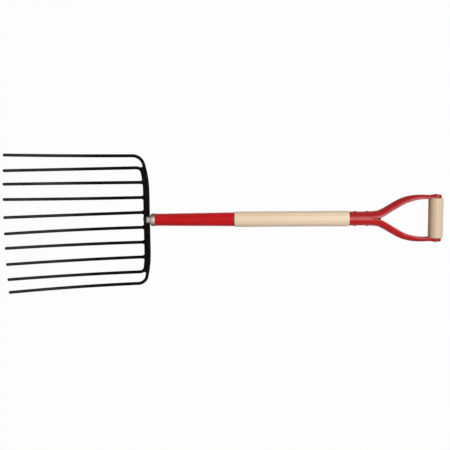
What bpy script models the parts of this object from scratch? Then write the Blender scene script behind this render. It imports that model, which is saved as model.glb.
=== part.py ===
"""Ensilage fork: a ten tine welded head, a wooden shaft and a pressed steel D-handle with a wooden grip.

Everything is placed in the fork's own frame, in metres: X runs along the shaft from the bar of the head to
the grip, with the shaft's axis at y = z = 0, and +Z is the hollow side of the head. An empty named after the
fork then lays it down at rest: bar and shaft touch z = 0, and the origin is below the middle of the outline.
"""

import math

import bmesh
import bpy
from mathutils import Matrix, Vector

# Clearances
SEAT_GAP = 0.0003
PIN_CLEARANCE = 0.0003

# Head: two nested hoops give the four outer tines and the bar, and straight tines are welded to the bar
STRAIGHT_TINES = 6
TINE_PITCH = 0.0394
OUTER_TINE_GAP = 0.0311
TINE_REACH = 0.3366
OUTER_TINE_SHORTER = 0.005
TINE_RISE = 0.1074
DISH_ANGLE = math.radians(10.92)
ROD_RADIUS = 0.0042
TIP_RADIUS = 0.0038
BAR_BEND_RADIUS = 0.255
WELD_RADIUS = 0.0054
WELD_LENGTH = 0.0055
# The middle of the head lies a little towards -Y of the shaft's axis
HEAD_OFFSET = -0.0010
# Both ends of the head, at +Y and at -Y: how far inside the last straight tine the bar starts to bend,
# how far outside it the inner hoop's tine lies, the sweep of the bar, and the corners of both hoops
BEND_INSETS = (0.0235, 0.0095)
INNER_TINE_GAPS = (0.0385, 0.0396)
BAR_SWEEPS = (math.radians(14.5), math.radians(12))
INNER_CORNER_RADII = (0.0150, 0.0126)
OUTER_CORNER_RADII = (0.0290, 0.0230)
# How far each tine was left bent sideways, at its middle and its tip, from the first tine at +Y to the tenth
TINE_BENDS = (
    (0.0008, 0.0033),
    (-0.0021, -0.0041),
    (0.0005, 0.0010),
    (0.0000, 0.0025),
    (-0.0020, -0.0030),
    (-0.0015, -0.0045),
    (-0.0005, -0.0015),
    (-0.0015, -0.0030),
    (-0.0008, -0.0018),
    (-0.0010, -0.0035),
)

# Shank: a round forged bar with a domed nose over the bar of the head, and a tang inside the shaft
SHANK_RADIUS = 0.0095
SHANK_SEAT_DEPTH = 0.0007
SHANK_NOSE = 0.0010
NOSE_LENGTH = 0.0085
TANG_SHOULDER = 0.012
TANG_ROOT_RADIUS = 0.0065
TANG_TIP_RADIUS = 0.0030
TANG_LENGTH = 0.120
SADDLE_HALF_WIDTH = 0.0085
SADDLE_EDGE = 0.0012

# Cap and ferrule around the front end of the shaft
CAP_STANDOFF = 0.0036
CAP_LENGTH = 0.0132
CAP_RADIUS = 0.0168
CAP_EDGE_RADIUS = 0.0060
CAP_WALL = 0.0016
FERRULE_LENGTH = 0.2060
FERRULE_FRONT_RADIUS = 0.0157
FERRULE_REAR_RADIUS = 0.0180
FERRULE_WALL = 0.0013
PIN_RADIUS = 0.0020
PIN_CROWN = 0.0003
TANG_PIN_INSET = 0.034
FERRULE_PIN_INSET = 0.020

# Shaft
SHAFT_RADIUS = 0.0200
SHAFT_SHOWN = 0.2940
SHOULDER_EDGE = 0.0018

# Yoke: two pressed channels that clamp the end of the shaft and spread to the grip
SOCKET_RADIUS = 0.0181
SOCKET_LENGTH = 0.0620
YOKE_WALL = 0.0018
YOKE_SEAM = 0.0007
CROTCH_SETBACK = 0.0775
YOKE_LENGTH = 0.2203
ARM_STRAIGHT = 0.0620
CROTCH_RADIUS = 0.040
ARM_BEND_RADIUS = 0.125
ARM_HALF_HEIGHT = 0.0134
CUP_RADIUS = 0.0142
CUP_DEPTH = 0.0082
CUP_LIP_STEP = 0.0003
MOUTH_SETBACK = 0.0025
ARM_SQUARENESS = 3.0
RIVET_INSET = 0.0155
RIVET_RADIUS = 0.0026
RIVET_HEAD_RADIUS = 0.0046
RIVET_HEAD_HEIGHT = 0.0009

# Grip
GRIP_RADIUS = 0.0185
GRIP_LENGTH = 0.1026
GRIP_CLEARANCE = 0.0004
GRIP_EDGE = 0.0030
GRIP_RIVET_RADIUS = 0.0030
GRIP_HEAD_RADIUS = 0.0060
GRIP_HEAD_HEIGHT = 0.0015

# Fineness of the solids
TURN_STEPS = 32
PIN_STEPS = 16
ROD_RINGS = 3
ARC_STEP = math.radians(12)
TINE_SPACING = 0.030
CHANNEL_SEGMENTS = 12
CHANNEL_SPACING = 0.014
NOSE_STEPS = 6
EDGE_STEPS = 3
TIP_STEPS = 3
TIP_ANGLE = math.radians(80)
CUTTER_OVERSHOOT = 0.004

# Stations along the shaft's axis, from the centre of the bar's front rod
ROD_PITCH = 2 * ROD_RADIUS + SEAT_GAP
BAR_Z = -(SHANK_RADIUS + ROD_RADIUS - SHANK_SEAT_DEPTH)
CAP_FRONT = ROD_PITCH + ROD_RADIUS + CAP_STANDOFF
FERRULE_FRONT = CAP_FRONT + CAP_LENGTH + SEAT_GAP
FERRULE_REAR = FERRULE_FRONT + FERRULE_LENGTH
SHAFT_FRONT = FERRULE_REAR + SEAT_GAP
YOKE_FRONT = SHAFT_FRONT + SHAFT_SHOWN + SEAT_GAP
SOCKET_REAR = YOKE_FRONT + SOCKET_LENGTH
CROTCH = YOKE_FRONT + CROTCH_SETBACK
GRIP_X = YOKE_FRONT + YOKE_LENGTH
TANG_TIP = FERRULE_FRONT + TANG_LENGTH
TANG_PIN_X = FERRULE_FRONT + TANG_PIN_INSET
FERRULE_PIN_X = FERRULE_REAR - FERRULE_PIN_INSET
YOKE_RIVET_FRONT = YOKE_FRONT + RIVET_INSET
YOKE_RIVET_REAR = SOCKET_REAR - RIVET_INSET

# Places across the head, from its middle to the last straight tine, the hoops' tines and the bar's bends
LAST_STRAIGHT_Y = (STRAIGHT_TINES - 1) / 2 * TINE_PITCH
INNER_TINE_YS = [LAST_STRAIGHT_Y + gap for gap in INNER_TINE_GAPS]
OUTER_TINE_YS = [y + OUTER_TINE_GAP for y in INNER_TINE_YS]
BEND_STARTS = [LAST_STRAIGHT_Y - inset for inset in BEND_INSETS]

# Places across the grip, from the shaft's axis outwards
CUP_MOUTH = GRIP_LENGTH / 2 + SEAT_GAP
CUP_FLOOR = CUP_MOUTH + CUP_DEPTH - YOKE_WALL
CUP_OUTSIDE = CUP_MOUTH + CUP_DEPTH
ARM_INSIDE = CUP_MOUTH - MOUTH_SETBACK

BLACK_ENAMEL = ((0.012, 0.012, 0.013, 1.0), 0.42, 0.0)
BARE_STEEL = ((0.42, 0.41, 0.39, 1.0), 0.34, 1.0)
RED_ENAMEL = ((0.52, 0.012, 0.018, 1.0), 0.35, 0.0)
ASH_WOOD = ((0.76, 0.60, 0.41, 1.0), 0.55, 0.0)

# Rotations that lay a turned solid's axis along the shaft, and across it
ALONG = (0.0, math.pi / 2, 0.0)
ACROSS = (-math.pi / 2, 0.0, 0.0)


def clear_scene():
    for obj in list(bpy.data.objects):
        bpy.data.objects.remove(obj, do_unlink=True)


def new_collection(name):
    made = bpy.data.collections.new(name)
    bpy.context.scene.collection.children.link(made)
    return made


def place(obj, collection, frame):
    """Links an object and hangs it in the fork's own frame."""
    collection.objects.link(obj)
    obj.parent = frame
    return obj


def give_finish(obj, finish):
    colour, roughness, metallic = finish
    material = bpy.data.materials.new(obj.name)
    material.use_nodes = True
    shader = material.node_tree.nodes["Principled BSDF"]
    shader.inputs["Base Color"].default_value = colour
    shader.inputs["Roughness"].default_value = roughness
    shader.inputs["Metallic"].default_value = metallic
    material.diffuse_color = colour
    obj.data.materials.clear()
    obj.data.materials.append(material)


def smooth_step(value):
    share = min(max(value, 0.0), 1.0)
    return share * share * (3 - 2 * share)


def blend(start, end, share):
    return start + (end - start) * share


def rounded_path(corners, radii):
    """Straight lines through the corners, with an arc of the given radius at each corner between the ends.

    An arc that its straight sides can't hold is made as large as they allow.
    """
    corners = [Vector(corner) for corner in corners]
    sides = [(b - a).length for a, b in zip(corners, corners[1:])]
    turns = [
        (b - a).angle_signed(c - b) for a, b, c in zip(corners, corners[1:], corners[2:])
    ]
    wanted = [radius * math.tan(abs(turn) / 2) for radius, turn in zip(radii, turns)]
    reach = [0.0, *wanted, 0.0]
    share = [
        min(1.0, side / max(before + after, 1e-9))
        for side, before, after in zip(sides, reach, reach[1:])
    ]
    path = [corners[0]]
    nearest = sum(sides) * 1e-6
    for index, turn in enumerate(turns):
        tangent = wanted[index] * min(share[index], share[index + 1])
        corner = corners[index + 1]
        towards = (corners[index] - corner).normalized()
        onwards = (corners[index + 2] - corner).normalized()
        radius = tangent / math.tan(abs(turn) / 2)
        centre = corner + (towards + onwards).normalized() * radius / math.cos(turn / 2)
        start = corner + towards * tangent - centre
        steps = max(2, math.ceil(abs(turn) / ARC_STEP))
        for step in range(steps + 1):
            # angle_signed counts clockwise turns as positive
            point = centre + Matrix.Rotation(-turn * step / steps, 2) @ start
            if (point - path[-1]).length > nearest:
                path.append(point)
    path.append(corners[-1])
    return path


def divided(path, spacing):
    """The path with points added, so that none of its steps is longer than the spacing."""
    points = [path[0]]
    for start, end in zip(path, path[1:]):
        steps = max(1, math.ceil((end - start).length / spacing))
        points += [start.lerp(end, (step + 1) / steps) for step in range(steps)]
    return points


def tube(name, points, radii, collection, frame):
    """A round rod through the points, with its own radius at each of them."""
    curve = bpy.data.curves.new(name, "CURVE")
    curve.dimensions = "3D"
    curve.bevel_depth = 1.0
    curve.bevel_resolution = ROD_RINGS
    curve.use_fill_caps = True
    spline = curve.splines.new("POLY")
    spline.points.add(len(points) - 1)
    for target, point, radius in zip(spline.points, points, radii):
        target.co = (*point, 1.0)
        target.radius = radius
    spline.use_smooth = True
    return place(bpy.data.objects.new(name, curve), collection, frame)


def as_mesh(curve_object, collection, frame):
    """The curve's tube as a closed mesh object, in the curve's place."""
    bpy.context.view_layer.update()
    evaluated = curve_object.evaluated_get(bpy.context.evaluated_depsgraph_get())
    mesh = bpy.data.meshes.new_from_object(evaluated)
    work = bmesh.new()
    work.from_mesh(mesh)
    bmesh.ops.remove_doubles(work, verts=work.verts, dist=1e-6)
    bmesh.ops.recalc_face_normals(work, faces=work.faces)
    work.to_mesh(mesh)
    work.free()
    name = curve_object.name
    matrix = curve_object.matrix_world.copy()
    bpy.data.objects.remove(curve_object, do_unlink=True)
    made = place(bpy.data.objects.new(name, mesh), collection, frame)
    made.matrix_world = matrix
    mesh.shade_smooth()
    mesh.set_sharp_from_angle(angle=math.radians(40))
    return made


def turned(name, profile, collection, frame, rotation=ALONG, closed=False, steps=TURN_STEPS):
    """A turned solid from (radius, height) points down its outer side, with height along the axis."""
    mesh = bpy.data.meshes.new(name)
    edges = [(index, index + 1) for index in range(len(profile) - 1)]
    if closed:
        edges.append((len(profile) - 1, 0))
    mesh.from_pydata([(radius, 0.0, height) for radius, height in profile], edges, [])
    obj = place(bpy.data.objects.new(name, mesh), collection, frame)
    obj.rotation_euler = rotation
    screw = obj.modifiers.new("turn", "SCREW")
    screw.axis = "Z"
    screw.steps = steps
    screw.render_steps = steps
    screw.use_merge_vertices = True
    screw.merge_threshold = 1e-6
    screw.use_smooth_shade = True
    return obj


def arc(centre, radius, start, end, steps):
    """(radius, height) points on an arc of a profile, with its angles in degrees from straight outwards."""
    points = []
    for step in range(steps + 1):
        angle = math.radians(blend(start, end, step / steps))
        across = centre[0] + radius * math.cos(angle)
        points.append((across, centre[1] + radius * math.sin(angle)))
    return points


def combine(obj, other, operation):
    boolean = obj.modifiers.new(f"{operation.lower()}_{other.name}", "BOOLEAN")
    boolean.operation = operation
    boolean.solver = "EXACT"
    boolean.object = other


def make_helper(obj):
    obj.hide_render = True
    obj.display_type = "WIRE"
    return obj


def pin_cutter(name, x, radius, half_length, cutters, frame):
    """A round hole's cutter across the shaft, along Y."""
    profile = [(0.0, half_length), (radius, half_length), (radius, -half_length), (0.0, -half_length)]
    cutter = turned(name, profile, cutters, frame, ACROSS, steps=PIN_STEPS)
    cutter.location.x = x
    return make_helper(cutter)


def tine_reach(y):
    """How far the tine at this distance from the axis reaches in front of the bar."""
    return TINE_REACH - OUTER_TINE_SHORTER * (y / OUTER_TINE_YS[0]) ** 2


def tine_bend(number):
    return TINE_BENDS[(number - 1) % len(TINE_BENDS)]


def dished(point, bend, reach):
    """Lifts a point of the head's flat layout onto the dish of the tines, and adds its tine's bend."""
    ahead = max(0.0, -point.x)
    share = ahead / reach
    middle, tip = bend
    sideways = share * ((4 * middle - tip) + (2 * tip - 4 * middle) * share)
    slope = math.tan(DISH_ANGLE)
    height = slope * ahead + (TINE_RISE - slope * TINE_REACH) * (ahead / TINE_REACH) ** 2
    return Vector((point.x, point.y + HEAD_OFFSET + sideways, BAR_Z + height))


def tine_radius(point, reach):
    return blend(ROD_RADIUS, TIP_RADIUS, min(1.0, max(0.0, -point.x) / reach))


def rounded_tip(points, radii):
    """Ends the rod with a blunt round tip in place of its last point."""
    tip, radius = points.pop(), radii.pop()
    onwards = (tip - points[-1]).normalized()
    for step in range(TIP_STEPS + 1):
        angle = TIP_ANGLE * step / TIP_STEPS
        points.append(tip - onwards * radius * (1 - math.sin(angle)))
        radii.append(radius * math.cos(angle))


def half_hoop(tine_y, back, bend_start, bend_radius, sweep, corner_radius):
    """Corners and arc radii of half a hoop in plan, from its tine's tip to the middle of the bar."""
    bend = bend_start + bend_radius * math.tan(sweep / 2)
    corner = back - math.tan(sweep) * (tine_y - bend)
    return [(-tine_reach(tine_y), tine_y), (corner, tine_y), (back, bend)], [corner_radius, bend_radius]


def whole_hoop(halves):
    """The flat layout of a hoop: tine, corner, bar with swept ends, corner, tine."""
    (left, left_radii), (right, right_radii) = halves
    mirrored = [(x, -y) for x, y in reversed(right)]
    return rounded_path(left + mirrored, left_radii + right_radii[::-1])


def outer_layout():
    sides = zip(OUTER_TINE_YS, BEND_STARTS, BAR_SWEEPS, OUTER_CORNER_RADII)
    return whole_hoop(
        half_hoop(tine_y, ROD_PITCH, bend_start, BAR_BEND_RADIUS, sweep, corner_radius)
        for tine_y, bend_start, sweep, corner_radius in sides
    )


def inner_layout():
    """The layout of the front rod, which lies against the outer hoop until its own corners turn off."""
    halves = []
    bend_radius = BAR_BEND_RADIUS - ROD_PITCH
    for tine_y, bend_start, sweep, corner_radius in zip(
        INNER_TINE_YS, BEND_STARTS, BAR_SWEEPS, INNER_CORNER_RADII
    ):
        room = tine_y - corner_radius - bend_start
        followed = min(sweep, math.asin(room / (bend_radius - corner_radius)))
        halves.append(half_hoop(tine_y, 0.0, bend_start, bend_radius, followed, corner_radius))
    return whole_hoop(halves)


def bar_front(y):
    """X of the inner hoop's centre line at a distance y from the middle of the head."""
    layout = inner_layout()
    for above, below in zip(layout, layout[1:]):
        if below.y <= y < above.y:
            return blend(below.x, above.x, (y - below.y) / (above.y - below.y))
    return 0.0


def hoop_points(layout, bends):
    """A hoop's centre line on the dish of the head, and the rod's radius along it."""
    flat = divided(layout, TINE_SPACING)
    reach = tine_reach(layout[0].y)
    points = [dished(point, bends[0] if point.y > 0 else bends[1], reach) for point in flat]
    return points, [tine_radius(point, reach) for point in flat]


def make_hoop(name, layout, bends, collection, frame):
    """One bent rod: a tine at each end and the bar between them."""
    points, radii = hoop_points(layout, bends)
    for _ in range(2):
        rounded_tip(points, radii)
        points.reverse()
        radii.reverse()
    hoop = tube(name, points, radii, collection, frame)
    give_finish(hoop, BLACK_ENAMEL)
    return hoop


def make_bar_cutter(name, layout, bends, half_length, cutters, frame):
    """The bar's rod with the seat gap around it, for what is fitted to the bar."""
    points = hoop_points(layout, bends)[0]
    inside = [index for index, point in enumerate(points) if abs(point.y) <= half_length]
    points = points[inside[0] - 1 : inside[-1] + 2]
    radii = [ROD_RADIUS + SEAT_GAP] * len(points)
    return make_helper(as_mesh(tube(name, points, radii, cutters, frame), cutters, frame))


def make_tine(number, y, bar_cutter, parts, frame):
    """A straight tine, flared at its root into the weld and cut to sit on the bar."""
    reach = tine_reach(y)
    root = bar_front(y)
    weld_end = Vector((root - ROD_RADIUS - WELD_LENGTH, y))
    weld = [Vector((root, y)), Vector((root - ROD_RADIUS, y))]
    rod = divided([weld_end, Vector((-reach, y))], TINE_SPACING)
    points = [dished(point, tine_bend(number), reach) for point in weld + rod]
    radii = [WELD_RADIUS] * len(weld) + [tine_radius(point, reach) for point in rod]
    for point in points[: len(weld)]:
        # The weld's underside stays level with the bar's
        point.z += WELD_RADIUS - ROD_RADIUS
    rounded_tip(points, radii)
    tine = as_mesh(tube(f"tine_{number}", points, radii, parts, frame), parts, frame)
    combine(tine, bar_cutter, "DIFFERENCE")
    give_finish(tine, BLACK_ENAMEL)
    return tine


def make_shank(bar_cutters, pin_hole, parts, cutters, frame):
    """The forged shank: domed nose, round neck with a saddle on the bar, and tapered tang."""
    shoulder = FERRULE_FRONT + TANG_SHOULDER
    neck = SHANK_NOSE + NOSE_LENGTH
    profile = [
        (0.0, TANG_TIP),
        (TANG_TIP_RADIUS * 0.7, TANG_TIP),
        (TANG_TIP_RADIUS, TANG_TIP - TANG_TIP_RADIUS),
        (TANG_ROOT_RADIUS, shoulder),
        (SHANK_RADIUS, FERRULE_FRONT),
        (SHANK_RADIUS, neck),
    ]
    for step in range(1, NOSE_STEPS):
        angle = math.pi / 2 * step / NOSE_STEPS
        profile.append((SHANK_RADIUS * math.cos(angle), neck - NOSE_LENGTH * math.sin(angle)))
    profile.append((0.0, SHANK_NOSE))
    shank = turned("shank", profile, parts, frame)
    saddle = make_saddle(cutters, frame)
    combine(shank, saddle, "UNION")
    for cutter in bar_cutters:
        combine(shank, cutter, "DIFFERENCE")
    combine(shank, pin_hole, "DIFFERENCE")
    give_finish(shank, BARE_STEEL)
    return shank


def make_saddle(cutters, frame):
    """The block under the shank that wraps over both rods of the bar."""
    front = SHANK_NOSE
    rear = ROD_PITCH + ROD_RADIUS + CAP_STANDOFF - 2 * SEAT_GAP
    top = -SHANK_RADIUS / 3
    bottom = BAR_Z + SEAT_GAP
    size = Vector((rear - front, 2 * SADDLE_HALF_WIDTH, top - bottom))
    work = bmesh.new()
    bmesh.ops.create_cube(work, size=1.0, matrix=Matrix.Diagonal((*size, 1.0)))
    mesh = bpy.data.meshes.new("saddle")
    work.to_mesh(mesh)
    work.free()
    saddle = place(bpy.data.objects.new("saddle", mesh), cutters, frame)
    saddle.location = ((front + rear) / 2, 0.0, (top + bottom) / 2)
    bevel = saddle.modifiers.new("edges", "BEVEL")
    bevel.width = SADDLE_EDGE
    bevel.segments = 2
    return make_helper(saddle)


def ferrule_radius(x):
    share = (x - FERRULE_FRONT) / FERRULE_LENGTH
    return blend(FERRULE_FRONT_RADIUS, FERRULE_REAR_RADIUS, min(max(share, 0.0), 1.0))


def make_cap(parts, frame):
    """The bright pressed cap that closes the ferrule's front, with the shank through its middle."""
    rear = CAP_FRONT + CAP_LENGTH
    rim = FERRULE_FRONT_RADIUS - FERRULE_WALL
    crown = (CAP_RADIUS - CAP_EDGE_RADIUS, CAP_FRONT + CAP_EDGE_RADIUS)
    hole = SHANK_RADIUS + SEAT_GAP
    profile = [(CAP_RADIUS - SEAT_GAP, rear), (CAP_RADIUS, rear - 2 * SEAT_GAP)]
    profile += arc(crown, CAP_EDGE_RADIUS, 0, -90, 6)
    profile += [(hole, CAP_FRONT), (hole, CAP_FRONT + CAP_WALL), (rim, CAP_FRONT + CAP_WALL), (rim, rear)]
    cap = turned("ferrule_cap", profile, parts, frame, closed=True)
    give_finish(cap, BARE_STEEL)
    return cap


def make_ferrule(holes, parts, frame):
    """The tapered steel tube over the front of the shaft."""
    front, rear = FERRULE_FRONT, FERRULE_REAR
    edge = FERRULE_WALL / 3
    profile = [
        (FERRULE_REAR_RADIUS - edge, rear),
        (FERRULE_REAR_RADIUS, rear - edge),
        (FERRULE_FRONT_RADIUS, front + edge),
        (FERRULE_FRONT_RADIUS - edge, front),
        (FERRULE_FRONT_RADIUS - FERRULE_WALL, front),
        (FERRULE_REAR_RADIUS - FERRULE_WALL, rear),
    ]
    ferrule = turned("ferrule", profile, parts, frame, closed=True)
    for hole in holes:
        combine(ferrule, hole, "DIFFERENCE")
    give_finish(ferrule, RED_ENAMEL)
    return ferrule


def make_shaft(holes, parts, frame):
    """The ash shaft: stepped down inside cap, ferrule and yoke, and bored for the tang."""
    tenon = SOCKET_RADIUS - YOKE_WALL - SEAT_GAP
    tenon_end = SOCKET_REAR - 2 * PIN_CLEARANCE - YOKE_WALL
    nose = CAP_FRONT + CAP_WALL + SEAT_GAP
    front_radius = FERRULE_FRONT_RADIUS - FERRULE_WALL - SEAT_GAP
    rear_radius = FERRULE_REAR_RADIUS - FERRULE_WALL - SEAT_GAP
    shown_rear = SHAFT_FRONT + SHAFT_SHOWN
    bore = [
        (SHANK_RADIUS + SEAT_GAP, nose),
        (SHANK_RADIUS + SEAT_GAP, FERRULE_FRONT),
        (TANG_ROOT_RADIUS + SEAT_GAP, FERRULE_FRONT + TANG_SHOULDER),
        (TANG_TIP_RADIUS + SEAT_GAP, TANG_TIP - TANG_TIP_RADIUS),
        (TANG_TIP_RADIUS + SEAT_GAP, TANG_TIP + SEAT_GAP),
        (0.0, TANG_TIP + SEAT_GAP),
    ]
    rear_edge = (SHAFT_RADIUS - SHOULDER_EDGE, shown_rear - SHOULDER_EDGE)
    front_edge = (SHAFT_RADIUS - SHOULDER_EDGE, SHAFT_FRONT + SHOULDER_EDGE)
    profile = [
        (0.0, tenon_end),
        (tenon - SHOULDER_EDGE, tenon_end),
        (tenon, tenon_end - SHOULDER_EDGE),
        (tenon, shown_rear),
        *arc(rear_edge, SHOULDER_EDGE, 90, 0, EDGE_STEPS),
        *arc(front_edge, SHOULDER_EDGE, 0, -90, EDGE_STEPS),
        (rear_radius, SHAFT_FRONT),
        (front_radius, FERRULE_FRONT),
        (front_radius, nose),
        *bore,
    ]
    shaft = turned("shaft", profile, parts, frame)
    for hole in holes:
        combine(shaft, hole, "DIFFERENCE")
    give_finish(shaft, ASH_WOOD)
    return shaft


def make_flush_pin(name, x, parts, frame):
    """A pin across the ferrule, ground nearly flush with it on both sides."""
    end = ferrule_radius(x) + PIN_CROWN
    edge = 2 * PIN_CROWN
    profile = [
        (0.0, end),
        (PIN_RADIUS - edge, end - PIN_CROWN / 2),
        (PIN_RADIUS, end - edge),
        (PIN_RADIUS, -(end - edge)),
        (PIN_RADIUS - edge, -(end - PIN_CROWN / 2)),
        (0.0, -end),
    ]
    pin = turned(name, profile, parts, frame, ACROSS, steps=PIN_STEPS)
    pin.location.x = x
    give_finish(pin, RED_ENAMEL)
    return pin


def make_headed_rivet(name, x, half_grip, radius, head_radius, head_height, parts, frame):
    """A rivet along Y with a flat chamfered head at each end, around what it clamps."""
    under = half_grip + SEAT_GAP
    top = under + head_height
    half = [
        (0.0, top),
        (head_radius - head_height, top),
        (head_radius, top - head_height / 2),
        (head_radius, under),
        (radius, under),
    ]
    profile = half + [(across, -along) for across, along in reversed(half)]
    rivet = turned(name, profile, parts, frame, ACROSS, steps=PIN_STEPS)
    rivet.location.x = x
    give_finish(rivet, RED_ENAMEL)
    return rivet


def yoke_path():
    """The inner edge of one yoke half in plan, from the socket's mouth to the grip."""
    spread = [
        (YOKE_FRONT, YOKE_SEAM / 2),
        (CROTCH, YOKE_SEAM / 2),
        (GRIP_X - ARM_STRAIGHT, ARM_INSIDE),
        (GRIP_X - CUP_RADIUS / 4, ARM_INSIDE),
    ]
    return divided(rounded_path(spread, [CROTCH_RADIUS, ARM_BEND_RADIUS]), CHANNEL_SPACING)


def channel_section(x):
    """(outwards, up) points across a pressed channel: a half circle at the socket, squarer at the grip."""
    arm_start = (CROTCH + GRIP_X - ARM_STRAIGHT) / 2
    arm_end = GRIP_X - CUP_RADIUS
    taper = smooth_step((x - arm_start) / (arm_end - arm_start))
    flatten = smooth_step((x - SOCKET_REAR) / (arm_start - SOCKET_REAR))
    depth = blend(SOCKET_RADIUS - YOKE_SEAM / 2, CUP_OUTSIDE - ARM_INSIDE - CUP_LIP_STEP, taper)
    height = blend(SOCKET_RADIUS, ARM_HALF_HEIGHT, flatten)
    power = 2 / blend(2.0, ARM_SQUARENESS, taper)
    points = []
    for segment in range(CHANNEL_SEGMENTS + 1):
        angle = math.pi * (segment / CHANNEL_SEGMENTS - 0.5)
        out = depth * max(0.0, math.cos(angle)) ** power
        up = height * math.copysign(abs(math.sin(angle)) ** power, angle)
        points.append((out, up))
    return points


def make_channel(name, side, parts, frame):
    """One pressed channel: its section runs along the path, opens towards the hand and has an even wall."""
    path = yoke_path()
    work = bmesh.new()
    rows = []
    for index, point in enumerate(path):
        before = path[max(index - 1, 0)]
        after = path[min(index + 1, len(path) - 1)]
        along = (after - before).normalized()
        outwards = Vector((-along.y, along.x))
        row = []
        for out, up in channel_section(point.x):
            spot = point + outwards * out
            row.append(work.verts.new((spot.x, side * spot.y, up)))
        rows.append(row)
    for row, following in zip(rows, rows[1:]):
        for low in range(CHANNEL_SEGMENTS):
            corners = (row[low], row[low + 1], following[low + 1], following[low])
            work.faces.new(corners if side > 0 else corners[::-1])
    mesh = bpy.data.meshes.new(name)
    work.to_mesh(mesh)
    work.free()
    mesh.shade_smooth()
    mesh.set_sharp_from_angle(angle=math.radians(50))
    channel = place(bpy.data.objects.new(name, mesh), parts, frame)
    wall = channel.modifiers.new("wall", "SOLIDIFY")
    wall.thickness = YOKE_WALL
    wall.offset = -1.0
    wall.use_even_offset = True
    wall.use_rim = True
    return channel


def make_cup(name, half, side, cutters, frame):
    """Joins the round cup to a yoke half, hollows it and cuts the arm back around the grip."""
    hole = GRIP_RIVET_RADIUS + PIN_CLEARANCE
    inside = CUP_RADIUS - YOKE_WALL
    around = GRIP_RADIUS + GRIP_CLEARANCE
    beyond = CUP_OUTSIDE + CUTTER_OVERSHOOT
    before = ARM_INSIDE - CUTTER_OVERSHOOT
    rim = CUP_MOUTH - CUP_LIP_STEP
    outline = [
        (0.0, CUP_OUTSIDE),
        (CUP_RADIUS - YOKE_WALL / 2, CUP_OUTSIDE),
        (CUP_RADIUS, CUP_OUTSIDE - YOKE_WALL / 2),
        (CUP_RADIUS, rim),
        (0.0, rim),
    ]
    hollow = [
        (0.0, beyond),
        (hole, beyond),
        (hole, CUP_FLOOR),
        (inside, CUP_FLOOR),
        (inside, CUP_MOUTH),
        (around, CUP_MOUTH),
        (around, before),
        (0.0, before),
    ]
    # The hollow is turned by half a step, so that its corners fall between the cup's
    for kind, profile, operation, turn in (
        ("cup", outline, "UNION", 0.0),
        ("hollow", hollow, "DIFFERENCE", math.pi / TURN_STEPS),
    ):
        rotation = (-side * math.pi / 2, turn, 0.0)
        helper = turned(f"{name}_{kind}", profile, cutters, frame, rotation)
        helper.location.x = GRIP_X
        combine(half, make_helper(helper), operation)


def make_yoke_half(name, side, socket_holes, parts, cutters, frame):
    """A pressed channel with the round cup for the grip's end, and the rivets' holes."""
    half = make_channel(name, side, parts, frame)
    make_cup(name, half, side, cutters, frame)
    for cutter in socket_holes:
        combine(half, cutter, "DIFFERENCE")
    give_finish(half, RED_ENAMEL)
    return half


def make_grip(parts, frame):
    """The turned wooden grip, with a tenon in each cup and a bore for its rivet."""
    bore = GRIP_RIVET_RADIUS + PIN_CLEARANCE
    tenon = CUP_RADIUS - YOKE_WALL - SEAT_GAP
    end = CUP_FLOOR - 2 * SEAT_GAP - CUP_LIP_STEP
    edge = (GRIP_RADIUS - GRIP_EDGE, GRIP_LENGTH / 2 - GRIP_EDGE)
    upper = [(bore, end), (tenon, end), (tenon, GRIP_LENGTH / 2)]
    upper += arc(edge, GRIP_EDGE, 90, 0, 4)
    profile = upper + [(radius, -along) for radius, along in reversed(upper)]
    grip = turned("grip", profile, parts, frame, ACROSS, closed=True)
    grip.location.x = GRIP_X
    give_finish(grip, ASH_WOOD)
    return grip


def resting_place():
    """Tilt and height of the line under one front and one rear support that all others are above."""
    front = [(0.0, BAR_Z, ROD_RADIUS), (ROD_PITCH, BAR_Z, ROD_RADIUS)]
    rear = [
        (SHAFT_FRONT + SHOULDER_EDGE, 0.0, SHAFT_RADIUS),
        (SHAFT_FRONT + SHAFT_SHOWN - SHOULDER_EDGE, 0.0, SHAFT_RADIUS),
        (YOKE_FRONT, 0.0, SOCKET_RADIUS),
        (GRIP_X, 0.0, GRIP_RADIUS),
    ]
    choices = []
    for x1, z1, r1 in front:
        for x2, z2, r2 in rear:
            apart = math.hypot(x2 - x1, z2 - z1)
            slope = math.atan2(z2 - z1, x2 - x1) - math.asin((r2 - r1) / apart)
            floor = z1 * math.cos(slope) - x1 * math.sin(slope) - r1
            undersides = [z * math.cos(slope) - x * math.sin(slope) - r for x, z, r in front + rear]
            choices.append((floor - min(undersides), slope, floor))
    _, slope, floor = min(choices)
    return slope, floor


def make_frame(collection):
    """The empty that carries the fork's own frame to its resting place."""
    slope, floor = resting_place()
    middle = (GRIP_X + GRIP_RADIUS - TINE_REACH) / 2 * math.cos(slope)
    frame = bpy.data.objects.new("ensilage_fork_frame", None)
    collection.objects.link(frame)
    frame.rotation_euler = (0.0, slope, 0.0)
    frame.location = (-middle, 0.0, -floor)
    return frame


def make_head(parts, cutters, frame):
    """The ten tines and the bar, and the cutters of the bar's two rods."""
    seat_length = LAST_STRAIGHT_Y + TINE_PITCH / 2
    bar_cutters = []
    last = STRAIGHT_TINES + 4
    for name, layout, left, right in (
        ("inner_hoop", inner_layout(), 2, last - 1),
        ("outer_hoop", outer_layout(), 1, last),
    ):
        bends = (tine_bend(left), tine_bend(right))
        make_hoop(name, layout, bends, parts, frame)
        cutter = make_bar_cutter(f"{name}_seat", layout, bends, seat_length, cutters, frame)
        bar_cutters.append(cutter)
    front_rod = bar_cutters[0]
    for place_in_row in range(STRAIGHT_TINES):
        y = LAST_STRAIGHT_Y - place_in_row * TINE_PITCH
        make_tine(place_in_row + 3, y, front_rod, parts, frame)
    return bar_cutters


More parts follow.
